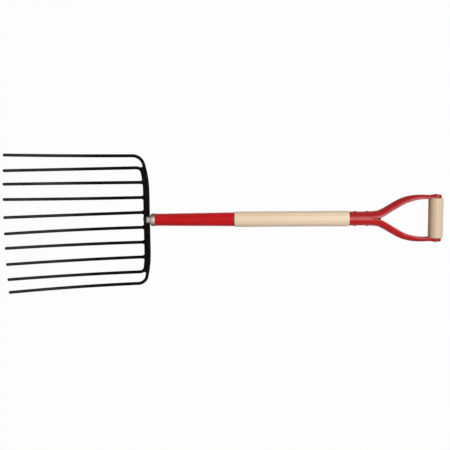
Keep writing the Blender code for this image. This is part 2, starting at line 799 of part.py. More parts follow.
def make_front(bar_cutters, pin_holes, parts, cutters, frame):
    """Shank, cap and ferrule, and the two pins that go through ferrule and shaft."""
    make_shank(bar_cutters, pin_holes[0], parts, cutters, frame)
    make_cap(parts, frame)
    make_ferrule(pin_holes, parts, frame)
    make_flush_pin("tang_pin", TANG_PIN_X, parts, frame)
    make_flush_pin("ferrule_pin", FERRULE_PIN_X, parts, frame)


def make_d_handle(rivet_holes, parts, cutters, frame):
    """The yoke's halves with their rivets, and the grip with its own."""
    make_yoke_half("yoke_left", 1, rivet_holes, parts, cutters, frame)
    make_yoke_half("yoke_right", -1, rivet_holes, parts, cutters, frame)
    for name, x in (("yoke_rivet_front", YOKE_RIVET_FRONT), ("yoke_rivet_rear", YOKE_RIVET_REAR)):
        sizes = (RIVET_RADIUS, RIVET_HEAD_RADIUS, RIVET_HEAD_HEIGHT)
        make_headed_rivet(name, x, SOCKET_RADIUS, *sizes, parts, frame)
    make_grip(parts, frame)
    sizes = (GRIP_RIVET_RADIUS, GRIP_HEAD_RADIUS, GRIP_HEAD_HEIGHT)
    make_headed_rivet("grip_rivet", GRIP_X, CUP_OUTSIDE, *sizes, parts, frame)


def main():
    clear_scene()
    parts = new_collection("ensilage_fork")
    cutters = new_collection("cutters")
    frame = make_frame(parts)
    through = SHAFT_RADIUS + CUTTER_OVERSHOOT
    holes = {
        name: pin_cutter(f"{name}_hole", x, radius + PIN_CLEARANCE, through, cutters, frame)
        for name, x, radius in (
            ("tang_pin", TANG_PIN_X, PIN_RADIUS),
            ("ferrule_pin", FERRULE_PIN_X, PIN_RADIUS),
            ("yoke_rivet_front", YOKE_RIVET_FRONT, RIVET_RADIUS),
            ("yoke_rivet_rear", YOKE_RIVET_REAR, RIVET_RADIUS),
        )
    }
    pin_holes = [holes["tang_pin"], holes["ferrule_pin"]]
    rivet_holes = [holes["yoke_rivet_front"], holes["yoke_rivet_rear"]]
    bar_cutters = make_head(parts, cutters, frame)
    make_front(bar_cutters, pin_holes, parts, cutters, frame)
    make_shaft(pin_holes + rivet_holes, parts, frame)
    make_d_handle(rivet_holes, parts, cutters, frame)


main()
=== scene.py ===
"""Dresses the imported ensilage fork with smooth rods, weld beads, pressed steel, enamel and ash wood.

Every piece is built in the fork's own frame, with X along the shaft from the bar's front rod to the
grip, and is laid down with the solids by the places of two of their pins.
"""

import math

import bmesh
import bpy
from mathutils import Matrix, Vector, noise


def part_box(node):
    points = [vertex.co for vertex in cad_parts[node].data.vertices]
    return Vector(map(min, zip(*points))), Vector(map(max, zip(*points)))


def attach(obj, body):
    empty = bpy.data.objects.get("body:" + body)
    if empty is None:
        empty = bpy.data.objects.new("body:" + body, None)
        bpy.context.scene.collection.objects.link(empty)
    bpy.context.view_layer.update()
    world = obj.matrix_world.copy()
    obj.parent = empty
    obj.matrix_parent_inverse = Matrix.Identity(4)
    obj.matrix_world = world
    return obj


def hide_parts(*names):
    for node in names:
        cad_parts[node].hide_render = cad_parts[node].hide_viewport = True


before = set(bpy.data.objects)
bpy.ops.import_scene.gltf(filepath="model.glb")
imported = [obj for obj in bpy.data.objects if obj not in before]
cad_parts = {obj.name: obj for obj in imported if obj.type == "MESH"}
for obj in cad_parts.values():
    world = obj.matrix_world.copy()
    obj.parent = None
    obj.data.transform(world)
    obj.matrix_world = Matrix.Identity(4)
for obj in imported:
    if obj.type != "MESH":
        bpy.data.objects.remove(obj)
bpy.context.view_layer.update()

# Head, with the left and the right side in each pair
STRAIGHT_TINES = 6
TINE_PITCH = 0.0394
OUTER_TINE_GAP = 0.0311
TINE_REACH = 0.3366
OUTER_TINE_SHORTER = 0.005
TINE_RISE = 0.1074
DISH_ANGLE = math.radians(10.92)
ROD_RADIUS = 0.0042
TIP_RADIUS = 0.0038
SEAT_GAP = 0.0003
BAR_BEND_RADIUS = 0.255
HEAD_OFFSET = -0.0010
BEND_INSETS = (0.0235, 0.0095)
INNER_TINE_GAPS = (0.0385, 0.0396)
BAR_SWEEPS = (math.radians(14.5), math.radians(12))
INNER_CORNER_RADII = (0.0150, 0.0126)
OUTER_CORNER_RADII = (0.0290, 0.0230)
# How far each tine is bent to the side, at its middle and at its tip
TINE_BENDS = (
    (0.0008, 0.0033),
    (-0.0021, -0.0041),
    (0.0005, 0.0010),
    (0.0000, 0.0025),
    (-0.0020, -0.0030),
    (-0.0015, -0.0045),
    (-0.0005, -0.0015),
    (-0.0015, -0.0030),
    (-0.0008, -0.0018),
    (-0.0010, -0.0035),
)

# Shank, cap and ferrule
SHANK_RADIUS = 0.0095
SHANK_SEAT_DEPTH = 0.0007
SHANK_NOSE = 0.0010
NOSE_LENGTH = 0.0085
NOSE_ANGLES = range(88, 0, -8)
# Grain and depth of the forging's dents
FORGING_DENTS = (0.004, 0.0003)
TANG_SHOULDER = 0.012
TANG_ROOT_RADIUS = 0.0065
TANG_TIP_RADIUS = 0.0030
TANG_LENGTH = 0.120
SADDLE_HALF_WIDTH = 0.0085
CAP_STANDOFF = 0.0036
CAP_LENGTH = 0.0132
CAP_RADIUS = 0.0168
CAP_EDGE_RADIUS = 0.0060
CAP_RIM_EDGE = 0.0007
CAP_HOLE_EDGE = 0.0006
CAP_BEVEL = 0.002
CAP_WALL = 0.0016
FERRULE_LENGTH = 0.2060
FERRULE_FRONT_RADIUS = 0.0157
FERRULE_REAR_RADIUS = 0.0180
FERRULE_WALL = 0.0013
FERRULE_FRONT_EDGE = 0.0006
FERRULE_REAR_EDGE = 0.0008
FERRULE_REAR_BAND = 0.0010
PIN_RADIUS = 0.0020
PIN_CROWN = 0.0003
# Shares of a pin's radius, with their distances from its end
PIN_END = ((1.0, 0.0016), (0.96, 0.0005), (0.80, 0.0002), (0.45, 0.0), (0.1, 0.0))
TANG_PIN_INSET = 0.034
FERRULE_PIN_INSET = 0.020

# Shaft and D-handle
SHAFT_RADIUS = 0.0200
SHAFT_SHOWN = 0.2940
SHOULDER_EDGE = 0.0018
SOCKET_RADIUS = 0.0181
SOCKET_LENGTH = 0.0620
YOKE_WALL = 0.0018
YOKE_SEAM = 0.0007
CROTCH_SETBACK = 0.0775
YOKE_LENGTH = 0.2203
ARM_STRAIGHT = 0.0620
CROTCH_RADIUS = 0.040
ARM_BEND_RADIUS = 0.125
ARM_HALF_HEIGHT = 0.0134
CUP_RADIUS = 0.0142
CUP_DEPTH = 0.0082
CUP_LIP_STEP = 0.0003
MOUTH_SETBACK = 0.0025
CUP_EDGE = 0.0022
CUP_HOLLOW_START = 0.004
ARM_SQUARENESS = 3.0
RIVET_INSET = 0.0155
RIVET_RADIUS = 0.0026
RIVET_HEAD_RADIUS = 0.0046
RIVET_HEAD_HEIGHT = 0.0009
RIVET_RIM = 0.0002
RIVET_NECK = 0.002
RIVET_UNDERSIDE = 0.97
GRIP_RADIUS = 0.0185
GRIP_LENGTH = 0.1026
GRIP_CLEARANCE = 0.0004
GRIP_EDGE = 0.0030
GRIP_ROW = 0.006
GRIP_RIVET_RADIUS = 0.0030
GRIP_HEAD_RADIUS = 0.0060
GRIP_HEAD_HEIGHT = 0.0015
SHOULDER_FILL = 0.0016
SHOULDER_FILL_X = 0.6040
SHOULDER_FILL_REACH = 0.028
# A dark sheet of painted shade in the crotch: its front, rear and half heights
SHADE_WEB_FRONT = 0.5940
SHADE_WEB_REAR = 0.6105
SHADE_WEB_FRONT_HALF_HEIGHT = 0.0135
SHADE_WEB_REAR_HALF_HEIGHT = 0.0095
EYE_RADIUS = 0.0020
EYE_CUT = 0.03
EYE_X = 0.6720
EYE_INSET = 0.0046

# Weld beads, as shares of a radius: bulk, ripples, waver with its grain, and rough skin with its own
BEAD_FULLNESS = 0.88
BEAD_RIPPLE = 0.14
BEAD_WAVER = (0.003, 0.35)
BEAD_ROUGHNESS = 0.16
BEAD_GRAIN = 0.0012

# Welds of the tines: the spread, top and bottom of a bead as shares of its rod's radius
TINE_WELD_RADIUS = 0.0014
TINE_WELD_SPREAD = 1.12
TINE_WELD_TOP = 0.93
TINE_WELD_BOTTOM = 0.60
TINE_WELD_STANDOFF = 0.0008
TINE_WELD_BOW = 0.0006

# Welds of the bar: the middle and length of each short bead, and its lift above and below
BAR_WELD_RADIUS = 0.0021
BAR_WELDS = ((-0.112, 0.020), (-0.060, 0.026), (0.060, 0.026), (0.110, 0.020))
BAR_WELD_LIFTS = {1: 0.62, -1: -0.38}
ROOT_WELD_REACH = 0.108
ROOT_WELD_RADIUS = 0.0022

# The weld at the hoops' corners: the widest gap that it fills, and how far it reaches into the rods
WEDGE_WELD_GAP = 0.0082
WEDGE_WELD_DEPTH = 0.0024
WEDGE_WELD_START = 0.004
WEDGE_WELD_FULLEST = 0.98
WEDGE_WELD_SPACING = 0.0007
WEDGE_SEARCH_SPACING = 0.0005

# The weld around the shank's foot: its middle and half length as shares of the rods' pitch
SHANK_WELD_RADIUS = 0.0016
SHANK_WELD_MIDDLE = 0.62
SHANK_WELD_HALF_LENGTH = 0.98
SHANK_WELD_STANDOFF = 0.0008
SHANK_WELD_SQUARENESS = 0.6
SHANK_WELD_LOWEST = 0.35

# How far the bar's enamel reaches over the shank, from the front and from below
PAINTED_NOSE = 0.0066
PAINTED_FOOT = 0.0030

# Fineness
ROD_SIDES = 24
BEAD_SIDES = 12
TINE_WELD_STEPS = 72
SHANK_WELD_STEPS = 110
SHADE_WEB_SIDES = 24
EYE_SIDES = 24
SHANK_SIDES = 48
TURN_STEPS = 72
PIN_STEPS = 32
ARC_STEP = math.radians(2.5)
POINT_SPACING = 0.004
TIP_STEPS = 8
TIP_ANGLE = math.radians(86)
CHANNEL_STEPS = 36
LIP_STEPS = 4
MOUTH_PINCH = 0.0006
MOUTH_PINCH_SHARE = 0.12
FORGING_VOXEL = 0.0006

# Radii of the innermost rings of turned ends
INNERMOST = 0.001
CUP_INNERMOST = 0.0008

# Stations along the shaft and places across the head
ROD_PITCH = 2 * ROD_RADIUS + SEAT_GAP
BAR_Z = -(SHANK_RADIUS + ROD_RADIUS - SHANK_SEAT_DEPTH)
CAP_FRONT = ROD_PITCH + ROD_RADIUS + CAP_STANDOFF
FERRULE_FRONT = CAP_FRONT + CAP_LENGTH + SEAT_GAP
FERRULE_REAR = FERRULE_FRONT + FERRULE_LENGTH
SHAFT_FRONT = FERRULE_REAR + SEAT_GAP
YOKE_FRONT = SHAFT_FRONT + SHAFT_SHOWN + SEAT_GAP
SOCKET_REAR = YOKE_FRONT + SOCKET_LENGTH
CROTCH = YOKE_FRONT + CROTCH_SETBACK
GRIP_X = YOKE_FRONT + YOKE_LENGTH
TANG_TIP = FERRULE_FRONT + TANG_LENGTH
TANG_PIN_X = FERRULE_FRONT + TANG_PIN_INSET
FERRULE_PIN_X = FERRULE_REAR - FERRULE_PIN_INSET
YOKE_RIVET_FRONT = YOKE_FRONT + RIVET_INSET
YOKE_RIVET_REAR = SOCKET_REAR - RIVET_INSET
LAST_STRAIGHT_Y = (STRAIGHT_TINES - 1) / 2 * TINE_PITCH
INNER_TINE_YS = [LAST_STRAIGHT_Y + gap for gap in INNER_TINE_GAPS]
OUTER_TINE_YS = [y + OUTER_TINE_GAP for y in INNER_TINE_YS]
BEND_STARTS = [LAST_STRAIGHT_Y - inset for inset in BEND_INSETS]
CUP_MOUTH = GRIP_LENGTH / 2 + SEAT_GAP
CUP_FLOOR = CUP_MOUTH + CUP_DEPTH - YOKE_WALL
CUP_OUTSIDE = CUP_MOUTH + CUP_DEPTH
ARM_INSIDE = CUP_MOUTH - MOUTH_SETBACK

# Where colours change along X, with the start and the end of each change
DUST_AND_SHEEN = (-0.11, -0.22)
SCUFFS = (-0.20, -0.35)
BROWN_FILM = (0.0020, 0.0060)
CAP_TINT = (CAP_FRONT + 0.0030, CAP_FRONT + 0.0100)
ARMS_DARKENING = (GRIP_X - 0.095, GRIP_X - 0.035)
DARK_ENDS = (GRIP_X - 0.002, GRIP_X + 0.010)
GRIP_FRONT_SHADE = (GRIP_X - 0.0105, GRIP_X - 0.0140)
GRIP_BACK_SHADE = (GRIP_X + 0.0080, GRIP_X + 0.0115)

# Camera, in the shared frame
CAMERA_PLACE = (0.04844, 0.13340, 1.60284)
CAMERA_TURN = (-5.3666, 1.8901, -0.5873)
CAMERA_LENS = 48.901
CAMERA_SENSOR = 36

# Light
AMBIENT = 0.13
KEY_PLACE = (1.6, 0.6, 4.0)
KEY_SIZE = 1.6
KEY_POWER = 178
FLOOR_COLOUR = (0.5, 0.5, 0.5, 1.0)
FLOOR_GLOW_SHARE = 0.965
FLOOR_SIZE = 40.0
FLOOR_DROP = 0.0001


def blend(start, end, share):
    return start + (end - start) * share


def smooth_step(value):
    share = min(max(value, 0.0), 1.0)
    return share * share * (3 - 2 * share)


def rough(point, size, amount, seed):
    """A smooth random offset at a point, of the given grain size and amount."""
    return amount * noise.noise(Vector(point) / size + Vector((seed, seed * 0.7, -seed)))


def rounded_path(corners, radii):
    """Straight lines through the corners, with an arc of the given radius at each inner corner."""
    corners = [Vector(corner) for corner in corners]
    sides = [(b - a).length for a, b in zip(corners, corners[1:])]
    turns = [(b - a).angle_signed(c - b) for a, b, c in zip(corners, corners[1:], corners[2:])]
    wanted = [radius * math.tan(abs(turn) / 2) for radius, turn in zip(radii, turns)]
    reach = [0.0, *wanted, 0.0]
    share = [
        min(1.0, side / max(before + after, 1e-9))
        for side, before, after in zip(sides, reach, reach[1:])
    ]
    path = [corners[0]]
    for index, turn in enumerate(turns):
        tangent = wanted[index] * min(share[index], share[index + 1])
        corner = corners[index + 1]
        towards = (corners[index] - corner).normalized()
        onwards = (corners[index + 2] - corner).normalized()
        radius = tangent / math.tan(abs(turn) / 2)
        centre = corner + (towards + onwards).normalized() * radius / math.cos(turn / 2)
        start = corner + towards * tangent - centre
        steps = max(2, math.ceil(abs(turn) / ARC_STEP))
        for step in range(steps + 1):
            point = centre + Matrix.Rotation(-turn * step / steps, 2) @ start
            if (point - path[-1]).length > 1e-6:
                path.append(point)
    path.append(corners[-1])
    return path


def divided(path, spacing):
    points = [path[0]]
    for start, end in zip(path, path[1:]):
        steps = max(1, math.ceil((end - start).length / spacing))
        points += [start.lerp(end, (step + 1) / steps) for step in range(steps)]
    return points


def full_turn(steps):
    """The angles of one full turn in equal steps."""
    return [2 * math.pi * step / steps for step in range(steps)]


def rod_rings(points, radii, sides, reference=(0, 0, 1), closed=False):
    """Rings around a path, whose first point lies across both the path and the reference."""
    rings = []
    last = len(points) - 1
    for index, point in enumerate(points):
        before = points[index - 1] if closed or index > 0 else point
        after = points[(index + 1) % len(points)] if closed or index < last else point
        along = (after - before).normalized()
        across = along.cross(Vector(reference)).normalized()
        over = across.cross(along)
        ring = []
        for angle in full_turn(sides):
            offset = across * math.cos(angle) + over * math.sin(angle)
            ring.append(point + offset * radii[index])
        rings.append(ring)
    return rings


def lathe_rings(profile, steps):
    """Rings around the X axis from (radius, x) points."""
    return [
        [Vector((x, radius * math.cos(a), radius * math.sin(a))) for a in full_turn(steps)]
        for radius, x in profile
    ]


def arc(centre, radius, start, end, steps):
    """(radius, x) points on an arc of a profile, with its angles in degrees from straight outwards."""
    points = []
    for step in range(steps + 1):
        angle = math.radians(blend(start, end, step / steps))
        across = centre[0] + radius * math.cos(angle)
        points.append((across, centre[1] + radius * math.sin(angle)))
    return points


def mesh_of(work, name):
    """A mesh made of a bmesh, which is freed."""
    mesh = bpy.data.meshes.new(name)
    work.to_mesh(mesh)
    work.free()
    return mesh


def linked(name, data):
    """A new object in the scene."""
    obj = bpy.data.objects.new(name, data)
    bpy.context.scene.collection.objects.link(obj)
    return obj


def skin(rings, closed=False):
    """A mesh over rings of equally many points, capped at its ends unless it closes on itself."""
    work = bmesh.new()
    rows = [[work.verts.new(point) for point in ring] for ring in rings]
    count = len(rows[0])
    following_rows = rows[1:] + rows[:1] if closed else rows[1:]
    for row, following in zip(rows, following_rows):
        for index in range(count):
            other = (index + 1) % count
            work.faces.new((row[index], row[other], following[other], following[index]))
    if not closed:
        work.faces.new(rows[0][::-1])
        work.faces.new(rows[-1])
    bmesh.ops.recalc_face_normals(work, faces=work.faces)
    return mesh_of(work, "skin")


def joined(meshes):
    """One mesh of several."""
    work = bmesh.new()
    for mesh in meshes:
        work.from_mesh(mesh)
    return mesh_of(work, "joined")


def combined(mesh, others):
    """The mesh after exact Booleans with others, given as (operation, mesh) pairs."""
    scratch = []
    base = bpy.data.objects.new("base", mesh)
    scratch.append(base)
    for operation, other in others:
        helper = bpy.data.objects.new("helper", other)
        scratch.append(helper)
        modifier = base.modifiers.new("boolean", "BOOLEAN")
        modifier.operation = operation
        modifier.solver = "EXACT"
        modifier.object = helper
    return evaluated(base, scratch)


def evaluated(base, scratch):
    """The mesh of an object with its modifiers applied. The scratch objects are then removed."""
    for obj in scratch:
        bpy.context.scene.collection.objects.link(obj)
    bpy.context.view_layer.update()
    result = bpy.data.meshes.new_from_object(
        base.evaluated_get(bpy.context.evaluated_depsgraph_get())
    )
    for obj in scratch:
        bpy.data.objects.remove(obj, do_unlink=True)
    return result


def softened(mesh, voxel, rounds):
    """The mesh remeshed finely and smoothed, so that its inner corners fill up like a forging's."""
    base = bpy.data.objects.new("base", mesh)
    remesh = base.modifiers.new("remesh", "REMESH")
    remesh.mode = "VOXEL"
    remesh.voxel_size = voxel
    smooth = base.modifiers.new("smooth", "SMOOTH")
    smooth.iterations = rounds
    smooth.factor = 0.5
    return evaluated(base, [base])


def own_frame():
    """The fork's own frame in the shared frame, from the middles of two pins on the shaft's axis."""
    front, rear = (sum(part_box(node), Vector()) / 2 for node in ("tang_pin", "yoke_rivet_rear"))
    slope = math.asin(-(rear - front).normalized().z)
    turn = Matrix.Rotation(slope, 4, "Y")
    return Matrix.Translation(front) @ turn @ Matrix.Translation((-TANG_PIN_X, 0, 0))


OWN_FRAME = own_frame()


def add_piece(name, mesh, finish, nodes=(), sharp=40):
    mesh.name = name
    mesh.transform(OWN_FRAME)
    mesh.shade_smooth()
    mesh.set_sharp_from_angle(angle=math.radians(sharp))
    mesh.materials.clear()
    mesh.materials.append(finish)
    piece = linked(name, mesh)
    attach(piece, "root")
    if nodes:
        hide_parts(*nodes)


class Shader:
    """A Principled material and a short way to add nodes to it."""

    def __init__(self, name, **values):
        self.material = bpy.data.materials.new(name)
        self.material.use_nodes = True
        self.tree = self.material.node_tree
        self.surface = self.tree.nodes["Principled BSDF"]
        self.feed(self.surface, values)
        self.place = self.add("TexCoord").outputs["Object"]
        to_own = OWN_FRAME.inverted()
        self.place = self.mapped((1, 1, 1), to_own.to_euler(), to_own.translation)

    def link(self, source, target):
        self.tree.links.new(source, target)

    def put(self, value, target):
        """Links another node's output to a socket, or sets the socket to a plain value."""
        if isinstance(value, bpy.types.NodeSocket):
            self.link(value, target)
        else:
            target.default_value = value

    def feed(self, node, values):
        """Puts values into a node's sockets, whose names are given with _ for a space."""
        for socket, value in values.items():
            self.put(value, node.inputs[socket.replace("_", " ")])

    def add(self, kind, **values):
        node = self.tree.nodes.new(f"ShaderNode{kind}")
        self.feed(node, values)
        return node

    def mapped(self, scale, turn=(0, 0, 0), shift=(0, 0, 0), source=None):
        vector = source or self.place
        node = self.add("Mapping", Vector=vector, Scale=scale, Rotation=turn, Location=shift)
        return node.outputs["Vector"]

    def noise(self, vector, detail, roughness=0.5):
        node = self.add("TexNoise", Vector=vector, Scale=1.0, Detail=detail, Roughness=roughness)
        return node.outputs["Fac"]

    def wave(self, vector, scale, distortion, detail, detail_scale):
        form = {"Distortion": distortion, "Detail": detail, "Detail_Scale": detail_scale}
        node = self.add("TexWave", Vector=vector, Scale=scale, **form)
        node.wave_type = "BANDS"
        node.bands_direction = "Y"
        return node.outputs["Fac"]

    def span(self, value, low, high, out_low=0.0, out_high=1.0):
        """A smooth change from one value to another, while the given value goes from low to high."""
        limits = {"From_Min": low, "From_Max": high, "To_Min": out_low, "To_Max": out_high}
        node = self.add("MapRange", Value=value, **limits)
        node.interpolation_type = "SMOOTHSTEP"
        return node.outputs["Result"]

    def ramp(self, value, stops):
        node = self.add("ValToRGB", Fac=value)
        ramp = node.color_ramp
        while len(ramp.elements) < len(stops):
            ramp.elements.new(0.5)
        for element, (position, colour) in zip(ramp.elements, stops):
            element.position = position
            element.color = (*colour, 1.0)
        return node.outputs["Color"]

    def mix(self, share, a, b, kind="MIX"):
        node = self.add("Mix")
        node.data_type = "RGBA"
        node.blend_type = kind
        for socket, value in (("Factor", share), ("A", a), ("B", b)):
            target = next(s for s in node.inputs if s.name == socket and s.enabled)
            self.put((*value, 1.0) if isinstance(value, tuple) else value, target)
        return next(s for s in node.outputs if s.enabled)

    def math(self, operation, a, b):
        node = self.add("Math")
        node.operation = operation
        self.put(a, node.inputs[0])
        self.put(b, node.inputs[1])
        return node.outputs["Value"]

    def axis(self, name):
        return self.add("SeparateXYZ", Vector=self.place).outputs[name]

    def bump(self, height, distance, strength, normal=None):
        node = self.add("Bump", Height=height, Distance=distance, Strength=strength)
        if normal is not None:
            self.link(normal, node.inputs["Normal"])
        return node.outputs["Normal"]

    def finish(self, colour, roughness, normal, metallic=None):
        for socket, value in (
            ("Base Color", colour),
            ("Roughness", roughness),
            ("Normal", normal),
            ("Metallic", metallic),
        ):
            if value is not None:
                self.link(value, self.surface.inputs[socket])
        return self.material


def black_enamel(name, brown_share=0.0):
    """Satin black enamel, scuffed towards the tips, and greyer there from dust and painted sheen. A
    brown share puts a brown film on the bar.
    """
    shader = Shader(name, Specular_IOR_Level=0.03)
    along = shader.axis("X")
    towards_tips = shader.span(along, *DUST_AND_SHEEN)
    patches = shader.noise(shader.mapped((14, 60, 60)), 4.0)
    scuffs = shader.noise(shader.mapped((60, 420, 420)), 6.0, 0.65)
    # Greyer towards the tips: partly dust, partly painted sheen where the raised tips catch the light
    dust_and_sheen = shader.mix(towards_tips, (0.0008, 0.0007, 0.0008), (0.029, 0.028, 0.028))
    patchy = shader.mix(shader.span(patches, 0.35, 0.7, 0.0, 0.45), dust_and_sheen, (0.0035, 0.0033, 0.0034))
    worn = shader.math("MULTIPLY", shader.span(scuffs, 0.60, 0.70), shader.span(along, *SCUFFS))
    colour = shader.mix(worn, patchy, (0.11, 0.105, 0.10))
    if brown_share > 0:
        # A patchy brown film on the bar's rod
        film = shader.noise(shader.mapped((90, 90, 90)), 5.0, 0.6)
        on_bar = shader.span(along, *BROWN_FILM)
        share = shader.math("MULTIPLY", shader.span(film, 0.40, 0.68, 0.0, brown_share), on_bar)
        colour = shader.mix(share, colour, (0.040, 0.021, 0.013))
    roughness = shader.span(patches, 0.3, 0.7, 0.40, 0.56)
    peel = shader.noise(shader.mapped((700, 900, 900)), 2.0)
    normal = shader.bump(peel, 0.00006, 0.6)
    return shader.finish(colour, roughness, normal)


def weld_enamel():
    """The same enamel over the rougher skin of a weld."""
    shader = Shader("weld_enamel", Specular_IOR_Level=0.05, Base_Color=(0.004, 0.0038, 0.004, 1.0))
    spatter = shader.noise(shader.mapped((900, 900, 900)), 4.0)
    roughness = shader.span(spatter, 0.3, 0.7, 0.34, 0.6)
    return shader.finish(None, roughness, shader.bump(spatter, 0.00015, 0.8))


def forged_steel():
    """Scaled and scratched steel, darkened on its flanks as painted shade, with the bar's black enamel
    over its front and its foot.
    """
    shader = Shader("forged_steel", Specular_IOR_Level=0.08)
    scale = shader.noise(shader.mapped((170, 170, 170)), 6.0, 0.62)
    scratches = shader.noise(shader.mapped((40, 1500, 1500)), 3.0)
    scaled = shader.mix(shader.span(scale, 0.50, 0.72), (0.39, 0.370, 0.335), (0.22, 0.21, 0.185))
    # Painted shade on the flanks of the nose
    shaded_flank = shader.span(shader.math("ABSOLUTE", shader.axis("Y"), 0.0), 0.0045, 0.0090, 0.0, 0.8)
    steel = shader.mix(shaded_flank, scaled, (0.12, 0.115, 0.095))
    ragged = shader.span(scale, 0.3, 0.7, -0.0012, 0.0012)
    along = shader.math("ADD", shader.axis("X"), ragged)
    up = shader.math("ADD", shader.axis("Z"), ragged)
    behind = shader.span(along, PAINTED_NOSE - 0.0008, PAINTED_NOSE + 0.0008)
    above = shader.span(up, PAINTED_FOOT - 0.0010, PAINTED_FOOT + 0.0010)
    bare = shader.math("MULTIPLY", behind, above)
    colour = shader.mix(bare, (0.004, 0.0038, 0.004), steel)
    roughness = shader.span(scale, 0.35, 0.65, 0.30, 0.52)
    hammered = shader.bump(scale, 0.00025, 0.7)
    return shader.finish(colour, roughness, shader.bump(scratches, 0.00004, 0.5, hammered), bare)


def cap_steel():
    """Pressed steel with a warm tint at its rear, bright on top and underneath, and darkened on its
    flanks as painted shade.
    """
    shader = Shader("cap_steel", Metallic=1.0)
    stain = shader.noise(shader.mapped((240, 240, 240)), 5.0, 0.6)
    ragged = shader.span(stain, 0.3, 0.7, -0.0014, 0.0014)
    sideways = shader.math("ADD", shader.math("ABSOLUTE", shader.axis("Y"), 0.0), ragged)
    shaded_flank = shader.span(sideways, 0.0040, 0.0125)
    rear = shader.span(shader.axis("X"), *CAP_TINT)
    unshaded = shader.mix(rear, (0.40, 0.360, 0.325), (0.50, 0.345, 0.300))
    scratches = shader.noise(shader.mapped((1500, 60, 60)), 3.0)
    # Painted shade on the cap's flanks
    colour = shader.mix(shaded_flank, unshaded, (0.150, 0.118, 0.095))
    roughness = shader.span(stain, 0.3, 0.7, 0.30, 0.46)
    return shader.finish(colour, roughness, shader.bump(scratches, 0.00005, 0.5))


def red_enamel(name, gloss, dull=0.0, painted_shade=1.0, grip_tone=1.0):
    """Brushed-on red enamel with slight runs and dull rubs, darker towards the grip and beyond its
    middle, and darkened all over by its painted shade.
    """
    shader = Shader(name, Specular_IOR_Level=gloss)
    cloud = shader.noise(shader.mapped((22, 55, 55)), 4.0, 0.55)
    rubs = shader.noise(shader.mapped((90, 350, 350)), 6.0, 0.68)
    colour = shader.mix(shader.span(cloud, 0.3, 0.7), (0.555, 0.0095, 0.0120), (0.485, 0.0070, 0.0090))
    unshaded = shader.mix(shader.span(rubs, 0.62, 0.74, 0.0, 0.55), colour, (0.30, 0.008, 0.010))
    # Darker towards the grip, and darker still beyond its middle
    near_grip = shader.span(shader.axis("X"), *ARMS_DARKENING, painted_shade, painted_shade * grip_tone)
    at_end = shader.span(shader.axis("X"), *DARK_ENDS, 1.0, 0.74)
    colour = shader.mix(1.0, unshaded, shader.math("MULTIPLY", near_grip, at_end), "MULTIPLY")
    roughness = shader.span(rubs, 0.35, 0.70, 0.27 + dull, 0.46 + dull)
    runs = shader.noise(shader.mapped((60, 120, 120)), 2.0)
    peel = shader.noise(shader.mapped((650, 650, 650)), 2.0)
    flow = shader.bump(runs, 0.00030, 0.35)
    return shader.finish(colour, roughness, shader.bump(peel, 0.00005, 0.5, flow))


def ash_wood(name, tone=(1, 1, 1), turn=(0, 0, 0), shift=(0, 0, 0), grip_tone=False):
    """Pale ash under thin lacquer: growth bands along the grain, open pores and fine fibres.

    With the grip's tone, the front flank of the grip is painted a warm brown and its back a grey, as
    painted shade.
    """
    shader = Shader(name, Specular_IOR_Level=0.25)
    own = shader.mapped((1, 1, 1), turn, shift)

    def along_grain(length, width):
        return shader.mapped((length, width, width), source=own)

    wander = shader.noise(along_grain(2.2, 26), 2.0)
    tilted = shader.mapped((0.28, 1.0, 0.35), (0.0, 0.0, 0.012), source=own)
    bands = shader.wave(tilted, 42.0, 3.2, 2.0, 1.3)
    fibres = shader.noise(along_grain(16, 900), 3.0, 0.6)
    pores = shader.noise(along_grain(55, 1500), 2.0, 0.7)
    stops = [
        (0.25, (0.800, 0.625, 0.440)),
        (0.55, (0.850, 0.690, 0.505)),
        (0.80, (0.885, 0.740, 0.560)),
    ]
    broad = shader.ramp(wander, stops)
    late = shader.mix(shader.span(bands, 0.45, 0.95, 0.0, 0.42), broad, (0.715, 0.520, 0.335))
    fibred = shader.mix(shader.span(fibres, 0.35, 0.70, 0.0, 0.38), late, (0.755, 0.575, 0.385))
    more_in_late = shader.span(bands, 0.2, 0.9, 0.25, 0.85)
    in_late = shader.math("MULTIPLY", shader.span(pores, 0.60, 0.72), more_in_late)
    pored = shader.mix(in_late, fibred, (0.50, 0.345, 0.205))
    colour = shader.mix(1.0, pored, tone, "MULTIPLY")
    if grip_tone:
        # Painted shade: warm brown on the grip's shaded front flank, grey on its darker back
        front = shader.span(shader.axis("X"), *GRIP_FRONT_SHADE, 0.0, 0.55)
        back = shader.span(shader.axis("X"), *GRIP_BACK_SHADE, 0.0, 0.6)
        colour = shader.mix(front, colour, (0.86, 0.52, 0.30))
        colour = shader.mix(back, colour, (0.54, 0.51, 0.41))
    roughness = shader.span(fibres, 0.3, 0.7, 0.38, 0.56)
    open_grain = shader.bump(pores, -0.00010, 0.6)
    return shader.finish(colour, roughness, shader.bump(fibres, 0.00008, 0.5, open_grain))


BLACK = black_enamel("black_enamel_tines")
BLACK_BAR = black_enamel("black_enamel_rear_rod", brown_share=0.55)
WELD = weld_enamel()
FORGED = forged_steel()
CAP = cap_steel()
RED = red_enamel("red_enamel_tube", 0.12)
# The two yoke halves are lit and shaded copies of one enamel: painted shade darkens the left half more
# than the right
RED_YOKE_SHADED = {
    1: red_enamel("red_enamel_pressing_left_shaded", 0.24, 0.04, 0.72, 0.92),
    -1: red_enamel("red_enamel_pressing_right_shaded", 0.24, 0.04, 0.93, 0.78),
}
# A dark copy of the red enamel, as painted shade in the crotch
RED_SHADE_WEB = red_enamel("red_enamel_shade_web", 0.10, 0.15, 0.3)
RED_RIVET = red_enamel("red_enamel_rivets", 0.12, 0.10)
ASH = ash_wood("ash_shaft")
ASH_GRIP = ash_wood("ash_grip", (0.81, 0.79, 0.77), (0, 0, math.pi / 2), (0.37, 0.11, 0.05), True)


